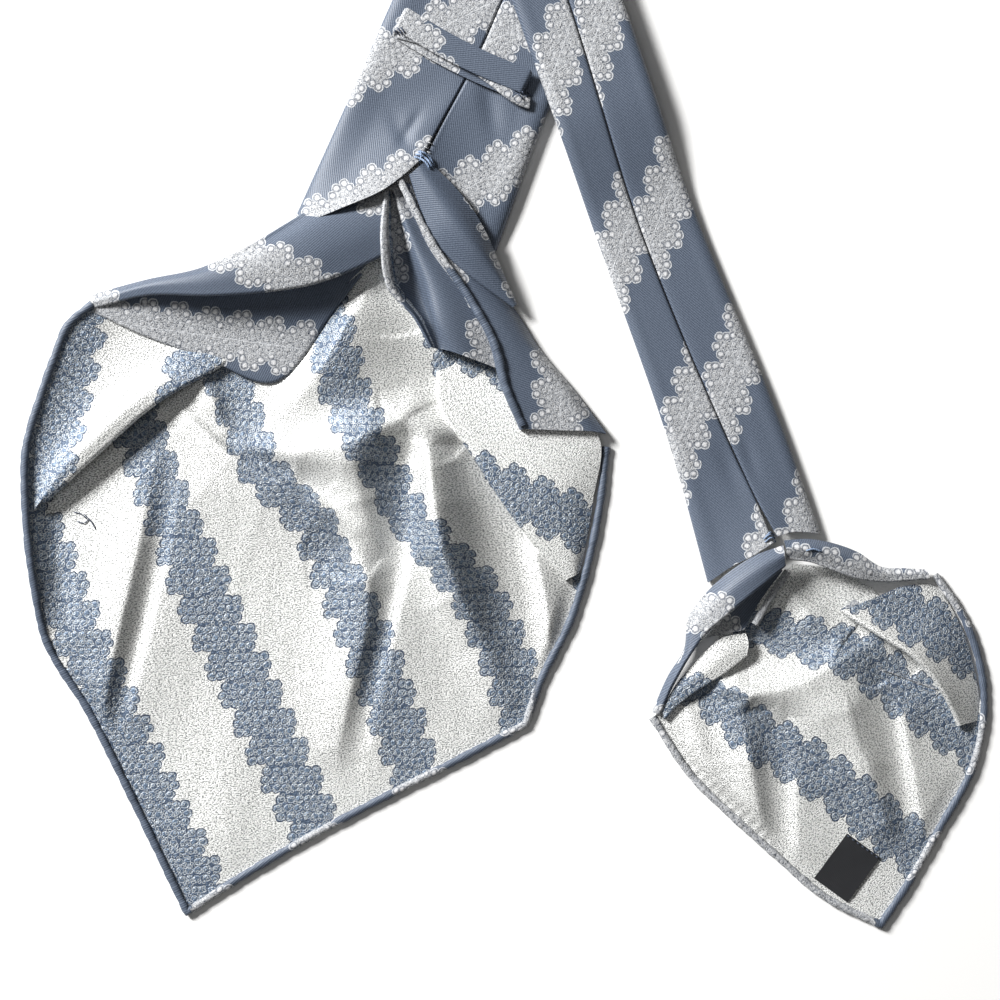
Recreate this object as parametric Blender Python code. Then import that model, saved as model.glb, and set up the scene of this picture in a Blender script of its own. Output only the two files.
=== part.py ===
"""A seven-fold tie laid flat with its seam side up and both open tips spread out.

The tables below are in millimetres, as the cloth lies on its surface: x to the right, y up
the length of the tie, z above the surface. Each rail is an edge or a crest of the cloth, and
its rows are the places where that edge changes course. A piece is lofted across its rails.
"""
import math
from collections import namedtuple

import bmesh
import bpy
import numpy as np
from mathutils import Matrix
from mathutils import Vector

MM = 0.001
CLOTH = 1.0             # thickness of one layer of the heavy silk
GAP = 0.3               # clearance between pieces that touch
CORE = 2.8              # thickness of the hidden folds in a blade
LAYER_LINES = 3         # fold edges that show at the side of the hidden folds
TIGHTEST_TURN = 1.2     # outer radius of the tightest fold in one layer
TURN_POINTS = 4         # columns of points round half a turn
TURN_CLEAR = 1.7        # a turned-under layer's lower side stays this high where it can
RETURN_SHARE = 0.45     # a turned-under layer reaches back over this share of its row at most
LIP = 0.45              # how far one fold edge stands out
EDGE_INSET = 2.5        # the hidden folds lie this far inside the blade's edge
GROOVE_HALF = 2.4       # half width of the dip along the centre of hidden folds
CORE_GROOVE = 0.9       # its depth in a blade
NECK_GROOVE = 0.7       # its depth in the neck piece
HEM_WIDTH = 3.0         # rolled hem
HEM_HEIGHT = 2.2
HEM_SIDES = 6
HEM_STEP = 8.5          # length of one hem segment
FOLD_DIES_OUT = 16.0    # a sheet's folds fade over this distance from its hem

# ---- blades: edges and centre-back seam, from the join at the neck down to the mouth (x, y)
FRONT_LEFT_EDGE = [(46.5, 370.3), (-40.5, 187.5), (-60.0, 143.5), (-79.0, 101.0)]
FRONT_RIGHT_EDGE = [(95.3, 349.7), (37.5, 190.0), (18.0, 146.0), (-2.0, 92.0)]
FRONT_SEAM = [(70.9, 360.0), (1.0, 187.5), (-10.0, 163.0), (-17.5, 149.0), (-28.5, 128.0)]
TAIL_LEFT_EDGE = [(-46.0, 328.2), (4.0, 187.5), (35.0, 101.5), (65.5, 14.5), (78.0, -31.0)]
TAIL_RIGHT_EDGE = [(-10.6, 341.0), (45.5, 187.5), (74.0, 106.0), (101.5, 39.0), (120.5, -12.5)]
TAIL_SEAM = [(-28.3, 334.6), (25.0, 187.5), (53.5, 99.0), (83.0, 28.0), (102.5, -14.0)]
FRONT_STATIONS = 16
TAIL_STATIONS = 24
FRONT_CORE_END = 0.86   # share of the blade's length that the hidden folds fill
TAIL_CORE_END = 0.93

# the top layer of one half of a blade, across from its outer edge to the centre-back seam:
# (share of the width, millimetres further in, height, share of the lean, place along the mouth)
BACK_TOP = CORE + GAP + CLOTH
BACK_FOLD_RAILS = [(0.0, 0.0, 1.4, 0.0, 0.0), (0.0, 0.0, 2.4, 0.0, 0.01), (0.0, 0.6, 3.6, 0.0, 0.03),
                   (0.0, 2.2, BACK_TOP, 0.05, 0.08), (0.35, 0.0, BACK_TOP + 0.15, 0.35, 0.35),
                   (0.7, 0.0, BACK_TOP + 0.15, 0.7, 0.7), (1.0, -1.4, BACK_TOP + 0.1, 0.95, 0.93),
                   (1.0, 0.0, BACK_TOP, 1.0, 1.0)]
SEAM_HALF_GAP = 0.45    # each half's fold edge stops this far from the seam line
MOUTH_RISE = (0.06, 0.38)   # share of the mouth's opening at the last two stations before it
MOUTH_PLACES = 60       # a mouth's edge is divided into this many places

# the open lower edges of the two back folds (x, y, z)
FRONT_LEFT_MOUTH = [(-79.0, 101.0, 6.0), (-64.0, 106.5, 14.0), (-50.0, 112.5, 17.5),
                    (-39.0, 118.0, 15.0), (-30.0, 127.0, 9.0)]
FRONT_RIGHT_MOUTH = [(-26.5, 127.5, 7.0), (-20.0, 118.0, 5.5), (-12.0, 107.0, 4.8), (-2.0, 92.0, 3.5)]
TAIL_LEFT_MOUTH = [(78.0, -31.0, 4.2), (87.0, -24.6, 6.2), (95.0, -20.4, 7.5), (102.0, -15.8, 7.9)]
TAIL_RIGHT_MOUTH = [(103.5, -13.6, 6.6), (109.0, -12.0, 5.5), (115.0, -12.0, 4.8), (120.5, -12.5, 3.5)]

# the front blade lies on the surface all along (y, z)
FRONT_LIFT = [(-400.0, 0.0), (500.0, 0.0)]
# the tail is carried over the front blade where they cross: height of its underside (y, z)
TAIL_LIFT = [(333.0, 0.0), (322.0, 0.0), (294.0, 5.2), (148.0, 5.2), (102.0, 0.0), (-40.0, 0.0)]

# ---- neck piece: a straight strip with two mitred folds (distance along it, half width)
NECK_HALF_WIDTH = [(0.0, 26.3), (98.0, 22.0), (279.0, 19.2), (407.0, 18.8)]
NECK_THICK = 4.0
NECK_START = (70.9, 360.0)
NECK_FIRST_FOLD = (109.0, 450.2)
NECK_SECOND_FOLD = (-71.8, 454.9)
NECK_END = (-28.3, 334.6)
SETTLE_AFTER = 36.0     # past a fold, the strip comes down to the surface from here
SETTLE_LENGTH = 32.0
SETTLE_SECTIONS = 5
MITRE_SECTIONS = 6
# where its other sections lie: (measured from, distance)
NECK_PLACES = [("start", GAP), ("start", 18.0), ("start", 36.0), ("start", 54.0), ("start", 74.0),
               ("first fold", 24.0), ("first fold", 88.0), ("first fold", 108.0),
               ("first fold", 128.0), ("second fold", -34.0), ("second fold", -20.0),
               ("second fold", 24.0), ("second fold", 88.0), ("second fold", 108.0), ("end", -GAP)]

# ---- open tip of the front blade, reverse side up: its hem from the left folds round the tip to
# the right folds, and the sheet's other edges, which lie under the folds (x, y)
FRONT_HEM = [(-152.5, 73.5), (-161.5, 65.5), (-166.8, 53.0), (-172.2, 37.5), (-177.0, 20.0),
             (-177.2, -3.0), (-174.0, -33.5), (-171.0, -50.5), (-154.3, -80.0), (-138.3, -112.0),
             (-117.6, -154.9), (-99.5, -143.0), (-77.0, -129.6), (-38.5, -109.1), (-16.0, -97.7),
             (9.6, -84.2), (15.0, -68.8), (27.0, -44.0), (30.6, -33.0), (34.0, -20.0),
             (37.8, 0.0), (40.0, 20.0)]
FRONT_HEM_START = 5     # the sheet meets the hem from this row
FRONT_HEM_TIP = 10
FRONT_HEM_CORNER = 15
FRONT_HEM_END = 18
FRONT_THROAT = (-28.0, 114.5)
FRONT_UNDER_RIGHT = [(18.0, -4.0), (3.0, 30.0), (-11.0, 67.5), FRONT_THROAT]
FRONT_UNDER_LEFT = [(-143.0, 25.0), (-107.0, 58.0), (-67.5, 88.0), FRONT_THROAT]

# folds of the two open sheets: crest lines (name, x, y, height, width to its left, to its right)
FRONT_CREASES = [
    ("step", -116.0, 30.0, 3.0, 20.0, 9.0), ("step", -101.0, 15.5, 5.0, 24.0, 7.5),
    ("step", -83.0, 6.0, 5.5, 24.0, 7.5), ("step", -61.0, -5.5, 4.5, 22.0, 8.0),
    ("step", -48.0, -15.0, 2.0, 18.0, 10.0),
    ("left wave", -122.0, -12.0, 2.0, 16.0, 10.0), ("left wave", -138.0, -58.0, 3.5, 16.0, 9.0),
    ("left wave", -146.0, -92.0, 2.5, 12.0, 8.0),
    ("middle wave", -38.0, -20.0, 2.5, 20.0, 11.0), ("middle wave", -41.0, -40.0, 4.5, 20.0, 10.0),
    ("middle wave", -60.0, -92.0, 3.0, 16.0, 9.0),
    ("throat crest", -60.0, 36.0, 2.0, 13.0, 12.0), ("throat crest", -46.0, 31.0, 3.5, 11.0, 9.0),
    ("throat crest", -26.0, 24.0, 2.5, 10.0, 9.0),
    ("throat ridge", -50.0, 80.0, 1.5, 10.0, 10.0), ("throat ridge", -62.0, 55.0, 2.5, 14.0, 14.0),
]
TAIL_CREASES = [
    ("cross crest", 84.0, -71.0, 2.0, 9.0, 8.0), ("cross crest", 97.0, -78.0, 4.0, 9.0, 8.0),
    ("cross crest", 112.0, -73.0, 4.0, 10.0, 9.0), ("cross crest", 128.0, -58.0, 2.5, 8.0, 8.0),
    ("middle fold", 104.0, -96.0, 2.5, 12.0, 8.0), ("middle fold", 108.0, -128.0, 2.0, 12.0, 8.0),
    ("left fold", 68.0, -84.0, 1.5, 7.0, 9.0), ("left fold", 72.0, -100.0, 2.0, 7.0, 9.0),
]

# ---- left folds at the mouth of the front blade (x, y, z)
LEFT_PLEAT = [
    [(-151.0, 71.6, 3.0), (-159.9, 64.3, 2.0), (-164.9, 52.3, 1.5), (-170.4, 37.0, 1.2),
     (-175.1, 19.8, 1.1), (-175.3, 5.0, 1.1)],
    [(-122.0, 66.0, 8.5), (-132.0, 54.0, 8.0), (-146.0, 40.0, 7.5), (-158.0, 26.0, 6.5),
     (-167.5, 13.0, 4.8), (-172.6, 3.5, 3.4)],
    [(-94.0, 58.0, 9.0), (-104.5, 51.5, 10.0), (-130.0, 36.0, 11.0), (-149.0, 19.5, 9.5),
     (-163.0, 7.5, 7.0), (-169.5, 1.5, 5.2)],
]
LEFT_UNDER_FOLD = [
    [(-150.5, 75.0, 4.5), (-124.0, 77.0, 8.5), (-95.0, 77.0, 10.5), (-70.0, 80.5, 10.5),
     (-50.0, 87.5, 9.0)],
    [(-149.0, 72.5, 4.6), (-133.0, 62.5, 11.0), (-109.0, 53.5, 12.8), (-86.0, 45.0, 11.6),
     (-64.0, 70.0, 10.0), (-52.5, 84.5, 8.8)],
]
LEFT_ROLL = [
    [(-151.5, 77.6, 2.2), (-131.0, 81.0, 1.6), (-110.5, 85.0, 1.4), (-94.0, 92.5, 1.4),
     (-77.0, 103.5, 1.4), (-61.0, 113.5, 1.6), (-43.8, 121.0, 3.0)],
    [(-151.0, 77.0, 6.0), (-131.0, 80.5, 8.5), (-109.0, 84.0, 10.5), (-91.0, 90.5, 11.0),
     (-75.0, 98.5, 10.0), (-59.0, 105.5, 9.5), (-43.9, 112.0, 8.5)],
    [(-150.6, 76.2, 7.6), (-131.0, 79.4, 11.6), (-108.0, 81.5, 14.0), (-88.0, 86.0, 14.5),
     (-72.0, 91.5, 13.8), (-58.0, 96.5, 13.0), (-44.0, 102.5, 11.0)],
    [(-150.4, 74.8, 8.0), (-131.0, 77.6, 12.6), (-107.5, 77.6, 15.2), (-86.0, 79.5, 15.8),
     (-69.0, 82.5, 15.6), (-57.0, 86.5, 14.6), (-43.9, 92.5, 11.8)],
]

# ---- right folds at the mouth of the front blade (x, y, z)
RIGHT_PETAL = [
    [(-27.0, 126.5, 9.5), (-18.0, 118.0, 8.5), (-10.5, 109.0, 7.5), (-4.0, 97.5, 6.8),
     (0.0, 88.0, 5.0), (7.5, 74.5, 3.2)],
    [(-30.0, 124.0, 11.5), (-23.0, 112.5, 12.5), (-16.0, 103.0, 13.0), (-9.0, 94.0, 12.0),
     (-2.5, 86.0, 9.5), (5.5, 74.0, 6.0)],
    [(-33.0, 121.5, 10.4), (-28.5, 108.0, 10.4), (-24.0, 97.0, 10.4), (-17.0, 89.5, 9.9),
     (-8.5, 82.5, 8.9), (3.0, 73.5, 6.6)],
]
RIGHT_BAND = [
    [(-36.8, 119.0, 8.4), (-30.5, 106.0, 8.6), (-25.5, 95.5, 9.0), (-12.0, 76.0, 10.0),
     (-2.5, 59.0, 10.5), (1.5, 44.0, 10.0), (9.0, 26.5, 8.0)],
    [(-35.2, 118.5, 8.2), (-27.5, 103.0, 8.6), (-19.5, 91.5, 8.8), (-5.0, 75.5, 8.4),
     (6.0, 59.0, 8.6), (14.5, 43.5, 8.2), (23.0, 26.0, 7.0)],
    [(-33.6, 118.0, 7.8), (-24.5, 101.5, 7.8), (-15.0, 89.0, 7.2), (3.0, 71.8, 5.2),
     (11.5, 58.5, 5.4), (24.5, 42.5, 5.6), (35.8, 25.6, 5.6)],
    [(-32.4, 117.2, 6.4), (-22.5, 100.5, 5.4), (-12.0, 88.0, 4.0), (6.0, 71.0, 1.4),
     (14.5, 57.5, 1.3), (27.8, 41.5, 1.3), (39.8, 25.0, 3.6)],
]
RIGHT_HOLLOW_PLEAT = [
    [(-42.6, 115.0, 9.0), (-43.2, 96.0, 10.8), (-40.5, 79.0, 10.4), (-31.0, 68.0, 9.6),
     (-25.5, 57.0, 8.5)],
    [(-41.4, 115.5, 4.6), (-38.5, 95.0, 4.0), (-34.5, 80.0, 4.0), (-28.0, 68.0, 4.6), (-24.0, 57.0, 6.0)],
    [(-40.0, 116.0, 7.2), (-31.5, 94.0, 8.6), (-26.5, 79.5, 9.8), (-24.0, 66.0, 10.0), (-20.0, 56.0, 8.8)],
    [(-38.2, 116.5, 6.6), (-25.0, 95.0, 6.6), (-9.0, 76.5, 7.6), (0.5, 60.0, 8.0), (3.5, 47.5, 7.6)],
]
RIGHT_TURNED_FLAP = [
    [(-12.0, 58.0, 4.4), (4.0, 46.0, 4.4), (17.0, 32.0, 5.8), (36.4, 24.6, 3.6), (35.0, 0.0, 1.3),
     (30.2, -27.0, 1.2)],
    [(-18.0, 50.5, 5.6), (-8.0, 38.0, 6.4), (6.0, 22.0, 6.6), (21.0, 4.0, 6.0), (27.0, -12.0, 4.6),
     (28.6, -28.0, 4.5)],
    [(-22.5, 48.5, 6.4), (-22.5, 38.0, 7.6), (-9.5, 17.5, 8.2), (6.0, -6.0, 7.4), (18.5, -22.0, 5.4),
     (25.5, -29.5, 4.9)],
]

# ---- left folds at the mouth of the tail (x, y, z)
TAIL_LEFT_ROLL = [
    [(105.5, -16.8, 9.0), (95.5, -20.5, 8.2), (86.0, -26.5, 7.1), (76.5, -35.5, 4.5),
     (70.5, -44.5, 2.6), (69.0, -56.0, 2.2), (63.0, -66.0, 2.2), (57.0, -79.6, 2.2)],
    [(105.8, -20.0, 11.2), (95.5, -26.0, 11.5), (84.5, -34.0, 10.5), (75.5, -42.5, 8.0),
     (71.0, -51.0, 6.5), (68.0, -60.0, 5.5), (63.5, -68.0, 4.6), (58.1, -79.9, 3.4)],
    [(106.0, -23.5, 10.5), (95.0, -32.5, 11.5), (83.5, -42.5, 10.5), (76.0, -49.5, 8.5),
     (71.0, -56.5, 7.4), (67.0, -63.5, 6.4), (63.2, -70.6, 5.4), (59.2, -80.2, 3.6)],
]
TAIL_LEFT_INNER_FOLD = [
    [(105.0, -25.6, 7.5), (93.5, -35.5, 7.8), (82.5, -45.0, 7.2), (76.5, -51.6, 6.0)],
    [(105.6, -26.5, 6.4), (99.5, -34.5, 5.6), (95.0, -41.5, 5.0), (91.5, -48.6, 4.6)],
]
TAIL_LEFT_TURNED_FLAP = [
    [(92.0, -49.8, 4.3), (82.5, -51.8, 5.0), (77.0, -56.5, 4.6), (70.5, -63.5, 4.2),
     (64.4, -71.3, 4.2), (60.6, -79.3, 3.0)],
    [(93.0, -53.5, 5.2), (84.5, -58.0, 6.0), (77.5, -63.0, 6.0), (71.0, -68.5, 5.2),
     (65.0, -75.0, 4.2), (61.2, -80.4, 3.0)],
    [(92.5, -57.5, 5.4), (83.5, -64.5, 5.8), (76.5, -69.0, 5.4), (70.5, -73.0, 4.8),
     (65.0, -77.8, 3.8), (61.4, -81.8, 3.0)],
]
TAIL_NARROW_ROLL = [(107.6, -26.6, 6.0), (101.2, -36.2, 5.4), (95.4, -46.6, 5.0)]
NARROW_ROLL_WIDTH = 2.4
NARROW_ROLL_HEIGHT = 1.8
NARROW_ROLL_SECTIONS = 5

# ---- right folds of the tail (x, y, z)
TAIL_TOP_FOLD = [
    [(105.9, -15.0, 9.2), (114.0, -14.5, 8.0), (126.0, -16.5, 5.5), (134.0, -19.5, 4.4),
     (143.0, -25.0, 2.6), (152.0, -25.6, 2.4), (160.0, -26.0, 2.2)],
    [(106.3, -17.8, 11.0), (115.5, -18.0, 11.0), (126.0, -21.0, 9.5), (134.5, -24.5, 8.0),
     (144.0, -27.4, 5.6), (153.0, -27.6, 4.4), (160.5, -27.5, 3.8)],
    [(106.7, -21.5, 9.4), (116.0, -22.5, 9.0), (125.5, -26.0, 8.5), (135.0, -29.0, 7.5),
     (144.5, -30.0, 5.4), (154.0, -29.4, 4.4), (161.0, -29.0, 3.8)],
]
TAIL_RIGHT_TURNED_FLAP = [
    [(150.0, -32.5, 2.6), (161.2, -31.6, 1.4), (172.7, -46.5, 1.1), (177.6, -61.0, 1.1),
     (179.9, -75.0, 1.1), (179.2, -83.0, 1.1)],
    [(139.0, -37.0, 5.2), (149.0, -44.0, 5.0), (162.0, -54.0, 6.0), (169.0, -66.0, 5.6),
     (173.5, -76.0, 4.2), (176.2, -83.6, 2.8)],
    [(128.0, -41.0, 5.6), (141.0, -50.0, 7.4), (156.5, -60.5, 8.4), (166.0, -72.5, 7.0),
     (170.0, -79.0, 5.6), (172.6, -84.4, 4.4)],
]

# ---- open tip of the tail, reverse side up: its hem, and the sheet's edges under the folds (x, y)
TAIL_HEM = [(57.3, -81.6), (72.0, -103.6), (87.4, -118.8), (103.4, -133.2), (122.6, -149.4),
            (143.0, -159.6), (150.5, -148.6), (165.0, -123.7), (177.9, -99.6), (182.0, -75.0),
            (174.8, -45.4), (163.5, -28.0)]
TAIL_HEM_TIP = 5
TAIL_HEM_END = 8
TAIL_RIGHT_CORNER = (140.0, -33.0)
TAIL_THROAT = (110.0, -24.0)
TAIL_UNDER_RIGHT = [(173.8, -91.5), (166.0, -77.0), (154.0, -56.0), TAIL_RIGHT_CORNER]
TAIL_UNDER_TOP = [TAIL_RIGHT_CORNER, (130.0, -28.0), (120.0, -25.0), TAIL_THROAT]
TAIL_UNDER_LEFT = [(74.0, -62.0), (92.0, -40.0), TAIL_THROAT]

# points in each piece's grid: (along, across)
GRIDS = {
    "front_sheet": (24, 22), "front_left_pleat": (14, 7), "front_left_under_fold": (14, 5),
    "front_left_roll": (14, 6), "front_right_petal": (12, 6), "front_right_band": (14, 6),
    "front_right_hollow_pleat": (12, 9), "front_right_turned_flap": (13, 7),
    "tail_sheet": (18, 18), "tail_left_roll": (14, 6), "tail_left_inner_fold": (7, 4),
    "tail_left_turned_flap": (10, 5), "tail_top_fold": (13, 6), "tail_right_turned_flap": (13, 7),
    "care_label": (6, 5),
}
# folds that turn under: (outer radius, how far the lower layer reaches back)
TURNS = {"front_left_pleat": (2.0, 11.0), "front_right_turned_flap": (1.6, 7.0),
         "tail_right_turned_flap": (1.6, 6.0)}

# ---- keeper loop: a flat ring of doubled cloth across the front blade
KEEPER_ENDS = [(-37.5, 180.0), (10.5, 155.8)]
KEEPER_WIDTH = 9.5
KEEPER_SHIFT = 2.4      # the back layer lies this far nearer the tip than the front layer
KEEPER_HOLLOW = 1.2
KEEPER_SAG = 1.6        # how far its middle dips towards the tip
KEEPER_CLEAR = 0.9      # it lies this far above the blade's top layer
KEEPER_SPANS = (0.2, 0.4, 0.6, 0.8)
KEEPER_TURN_POINTS = 5

# ---- fibre-content label on the tail's sheet: centre, size and turn
LABEL_CENTRE = (130.4, -138.2)
LABEL_SIZE = (15.5, 21.0)
LABEL_TURN = -36.0
LABEL_THICK = 0.5
LABEL_CLEAR = 0.25      # beyond the seam gap, so that it clears the sheet's slight folds


# ---- curves and grids ------------------------------------------------------------------------

def course(rows, count):
    """Points along a smooth curve through the rows, evenly spaced by their chords."""
    rows = np.array(rows, dtype=float)
    steps = np.linalg.norm(np.diff(rows, axis=0), axis=1)
    at = np.concatenate([[0.0], np.cumsum(steps)])
    slopes = np.gradient(rows, at, axis=0)
    wanted = np.linspace(0.0, at[-1], count)
    left = np.clip(np.searchsorted(at, wanted, side="right") - 1, 0, len(at) - 2)
    span = (at[left + 1] - at[left])[:, None]
    t = (wanted - at[left])[:, None] / span
    return ((2 * t**3 - 3 * t**2 + 1) * rows[left] + (t**3 - 2 * t**2 + t) * span * slopes[left]
            + (3 * t**2 - 2 * t**3) * rows[left + 1] + (t**3 - t**2) * span * slopes[left + 1])


def loft(rails, along, across):
    """A grid of points: smooth along the rails and smooth from rail to rail."""
    lines = np.array([course(rail, along) for rail in rails])
    return np.array([course(lines[:, row], across) for row in range(along)])


def patch(side_left, side_right, end_low, end_high, along, across):
    """A grid inside four edges that share their corners: low end, sides, high end."""
    low = course(end_low, across)
    high = course(end_high, across)
    left = course(side_left, along)
    right = course(side_right, along)
    v = np.linspace(0.0, 1.0, along)[:, None, None]
    u = np.linspace(0.0, 1.0, across)[None, :, None]
    ruled = (1 - v) * low[None] + v * high[None] + (1 - u) * left[:, None] + u * right[:, None]
    corners = ((1 - u) * (1 - v) * low[0] + u * (1 - v) * low[-1]
               + (1 - u) * v * high[0] + u * v * high[-1])
    return ruled - corners


def ease(t):
    """0 to 1 with level ends."""
    t = np.clip(t, 0.0, 1.0)
    return t * t * (3 - 2 * t)


def stepped(table, wanted):
    """A value that eases from row to row of a table of (place, value)."""
    rows = sorted(table)
    result = np.full(np.shape(wanted), rows[0][1], dtype=float)
    for (start, low), (end, high) in zip(rows, rows[1:]):
        result += (high - low) * ease((np.asarray(wanted) - start) / (end - start))
    return result


def relief(creases, x, y):
    """Height of an open sheet's folds above its resting plane."""
    total = np.zeros(np.shape(x))
    for name in dict.fromkeys(row[0] for row in creases):
        line = np.array([row[1:] for row in creases if row[0] == name])
        best = np.full(np.shape(x), np.inf)
        height = np.zeros(np.shape(x))
        for start, end in zip(line, line[1:]):
            run = end[:2] - start[:2]
            length = np.hypot(*run)
            t = ((x - start[0]) * run[0] + (y - start[1]) * run[1]) / length**2
            held = np.clip(t, 0.0, 1.0)
            side = ((x - start[0]) * run[1] - (y - start[1]) * run[0]) / length
            values = start[2:, None] + (end[2:] - start[2:])[:, None] * held.ravel()
            crest, left, right = values.reshape((3,) + np.shape(x))
            width = np.where(side < 0, left, right)
            past = (t - held) * length
            distance = np.sqrt((side / width)**2 + (past / (0.5 * (left + right)))**2)
            nearer = distance < best
            best = np.where(nearer, distance, best)
            height = np.where(nearer, crest, height)
        total = total + height * np.exp(-best**2)
    return total


def turned_under(grid, radius, back):
    """Adds a fold to the grid's last edge: half a turn down, then back below the cloth."""
    edge = grid[:, -1]
    inward = grid[:, -2] - edge
    inward[:, 2] = 0.0
    inward /= np.linalg.norm(inward, axis=1)[:, None]
    run = np.gradient(edge, axis=0)
    run[:, 2] = 0.0
    run /= np.linalg.norm(run, axis=1)[:, None]
    square = inward - (inward * run).sum(axis=1)[:, None] * run
    square /= np.linalg.norm(square, axis=1)[:, None]
    inward += square
    inward /= np.linalg.norm(inward, axis=1)[:, None]
    turn = np.clip(0.5 * (edge[:, 2] - TURN_CLEAR), TIGHTEST_TURN, radius)
    away = np.linalg.norm((grid - edge[:, None])[:, :, :2], axis=2)
    reach = np.minimum(back, RETURN_SHARE * away[:, 0])
    columns = [grid]
    for angle in np.linspace(0.0, math.pi, TURN_POINTS + 1)[1:]:
        point = edge - inward * (turn * math.sin(angle))[:, None]
        point[:, 2] = edge[:, 2] - turn * (1 - math.cos(angle))
        columns.append(point[:, None])
    for share in (0.5, 1.0):
        under = edge + inward * (reach * share)[:, None]
        above = [np.interp(share * far, row[::-1], heights[::-1])
                 for far, row, heights in zip(reach, away, grid[:, :, 2])]
        under[:, 2] = np.array(above) - 2 * turn
        columns.append(under[:, None])
    return np.concatenate(columns, axis=1)


def normals_of(grid):
    """Unit normals of a grid, pointing up where the cloth lies flat."""
    along = np.gradient(grid, axis=0)
    across = np.gradient(grid, axis=1)
    normal = np.cross(along, across)
    normal /= np.linalg.norm(normal, axis=2)[:, :, None]
    if normal[:, : max(2, grid.shape[1] // 3), 2].mean() < 0:
        normal = -normal
    return normal


def inset(rows, distance):
    """Points of a hem moved square to it by a distance, towards the sheet on its left."""
    run = np.diff(rows, axis=0)
    run /= np.linalg.norm(run, axis=1)[:, None]
    before = np.vstack([run[:1], run])
    after = np.vstack([run, run[-1:]])
    middle = (before + after) / np.linalg.norm(before + after, axis=1)[:, None]
    inward = np.column_stack([-middle[:, 1], middle[:, 0]])
    stretch = 1.0 / (middle * before).sum(axis=1)
    return rows + inward * (distance * stretch)[:, None]


def with_corners(rows, corners, step):
    """Points a step apart along a curve that is smooth but for its corner rows."""
    parts = []
    for first, last in zip([0] + corners, corners + [len(rows) - 1]):
        part = rows[first:last + 1]
        length = np.linalg.norm(np.diff(np.array(part), axis=0), axis=1).sum()
        parts.append(course(part, int(length / step) + 2)[:-1])
    return np.vstack(parts + [rows[-1:]])


def stretch_of(path, inner, first, last):
    """The inner points that lie beside a path from one of its places to another."""
    start, end = (int(np.linalg.norm(path - place, axis=1).argmin()) for place in (first, last))
    return [tuple(point) for point in inner[start:end + 1]]


# ---- solids ----------------------------------------------------------------------------------

FOLD_COLUMNS = slice(-TURN_POINTS - 3, None)
ALL_COLUMNS = slice(None)
EDGE_COLUMNS = slice(0, 4)
Blade = namedtuple("Blade", "left right seam rise seam_rise")


def cloth_material(name, colour, roughness):
    material = bpy.data.materials.new(name)
    material.use_nodes = True
    shader = material.node_tree.nodes["Principled BSDF"]
    shader.inputs["Base Color"].default_value = (*colour, 1.0)
    shader.inputs["Roughness"].default_value = roughness
    shader.inputs["Metallic"].default_value = 0.0
    return material


def solid(name, points, faces, material):
    """One closed object with its faces pointing out, from points in millimetres."""
    mesh = bpy.data.meshes.new(name)
    mesh.from_pydata([Vector(p) * MM for p in points], [], faces)
    body = bmesh.new()
    body.from_mesh(mesh)
    bmesh.ops.recalc_face_normals(body, faces=body.faces)
    body.to_mesh(mesh)
    body.free()
    mesh.materials.append(material)
    mesh.shade_smooth()
    mesh.set_sharp_from_angle(angle=math.radians(50))
    piece = bpy.data.objects.new(name, mesh)
    bpy.context.scene.collection.objects.link(piece)
    return piece


def wall(name, grid, material, thickness=CLOTH, turned=()):
    """A layer of cloth with its upper side on the grid and its lower side one thickness in.

    The turned columns are where the cloth goes round a fold, so they thicken along the normal;
    the rest of the layer is nearly flat and thickens straight down.
    """
    rows, columns = grid.shape[:2]
    inward = np.zeros(grid.shape)
    inward[:, :, 2] = 1.0
    if turned:
        inward[:, turned] = normals_of(grid)[:, turned]
    lower = grid - inward * thickness
    lower[:, :, 2] = np.maximum(lower[:, :, 2], 0.0)
    points = np.concatenate([grid.reshape(-1, 3), lower.reshape(-1, 3)])
    below = rows * columns

    def at(row, column):
        return row * columns + column

    faces = []
    for row in range(rows - 1):
        for column in range(columns - 1):
            quad = [at(row, column), at(row, column + 1), at(row + 1, column + 1), at(row + 1, column)]
            for half in (quad[:3], quad[2:] + quad[:1]):
                faces.append(half)
                faces.append([below + corner for corner in reversed(half)])
    rim = [at(0, column) for column in range(columns)]
    rim += [at(row, columns - 1) for row in range(1, rows)]
    rim += [at(rows - 1, column) for column in range(columns - 2, -1, -1)]
    rim += [at(row, 0) for row in range(rows - 2, 0, -1)]
    for first, second in zip(rim, rim[1:] + rim[:1]):
        faces.append([first, below + first, below + second, second])
    return solid(name, points, faces, material)


def skin(name, sections, material):
    """A solid through closed sections that have the same number of points."""
    count = len(sections[0])
    points = np.concatenate(sections)
    faces = [list(range(count))]
    for index in range(len(sections) - 1):
        start = index * count
        for corner in range(count):
            after = (corner + 1) % count
            faces.append([start + corner, start + after, start + count + after, start + count + corner])
    last = (len(sections) - 1) * count
    faces.append([last + corner for corner in reversed(range(count))])
    return solid(name, points, faces, material)


def folded_section(half, thick, groove):
    """Outline of hidden folds cut across: (sideways, height), with layered edges."""
    right = [(half - 2 * LIP, 0.0)]
    for layer in range(LAYER_LINES):
        low = thick * layer / LAYER_LINES
        right.append((half, low + 0.5 * thick / LAYER_LINES))
        if layer < LAYER_LINES - 1:
            right.append((half - LIP, low + thick / LAYER_LINES))
    right.append((half - 2 * LIP, thick))
    top = [(0.5 * half, thick), (GROOVE_HALF, thick), (0.0, thick - groove), (-GROOVE_HALF, thick),
           (-0.5 * half, thick)]
    left = [(-x, z) for x, z in reversed(right)]
    return right + top + left


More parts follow.
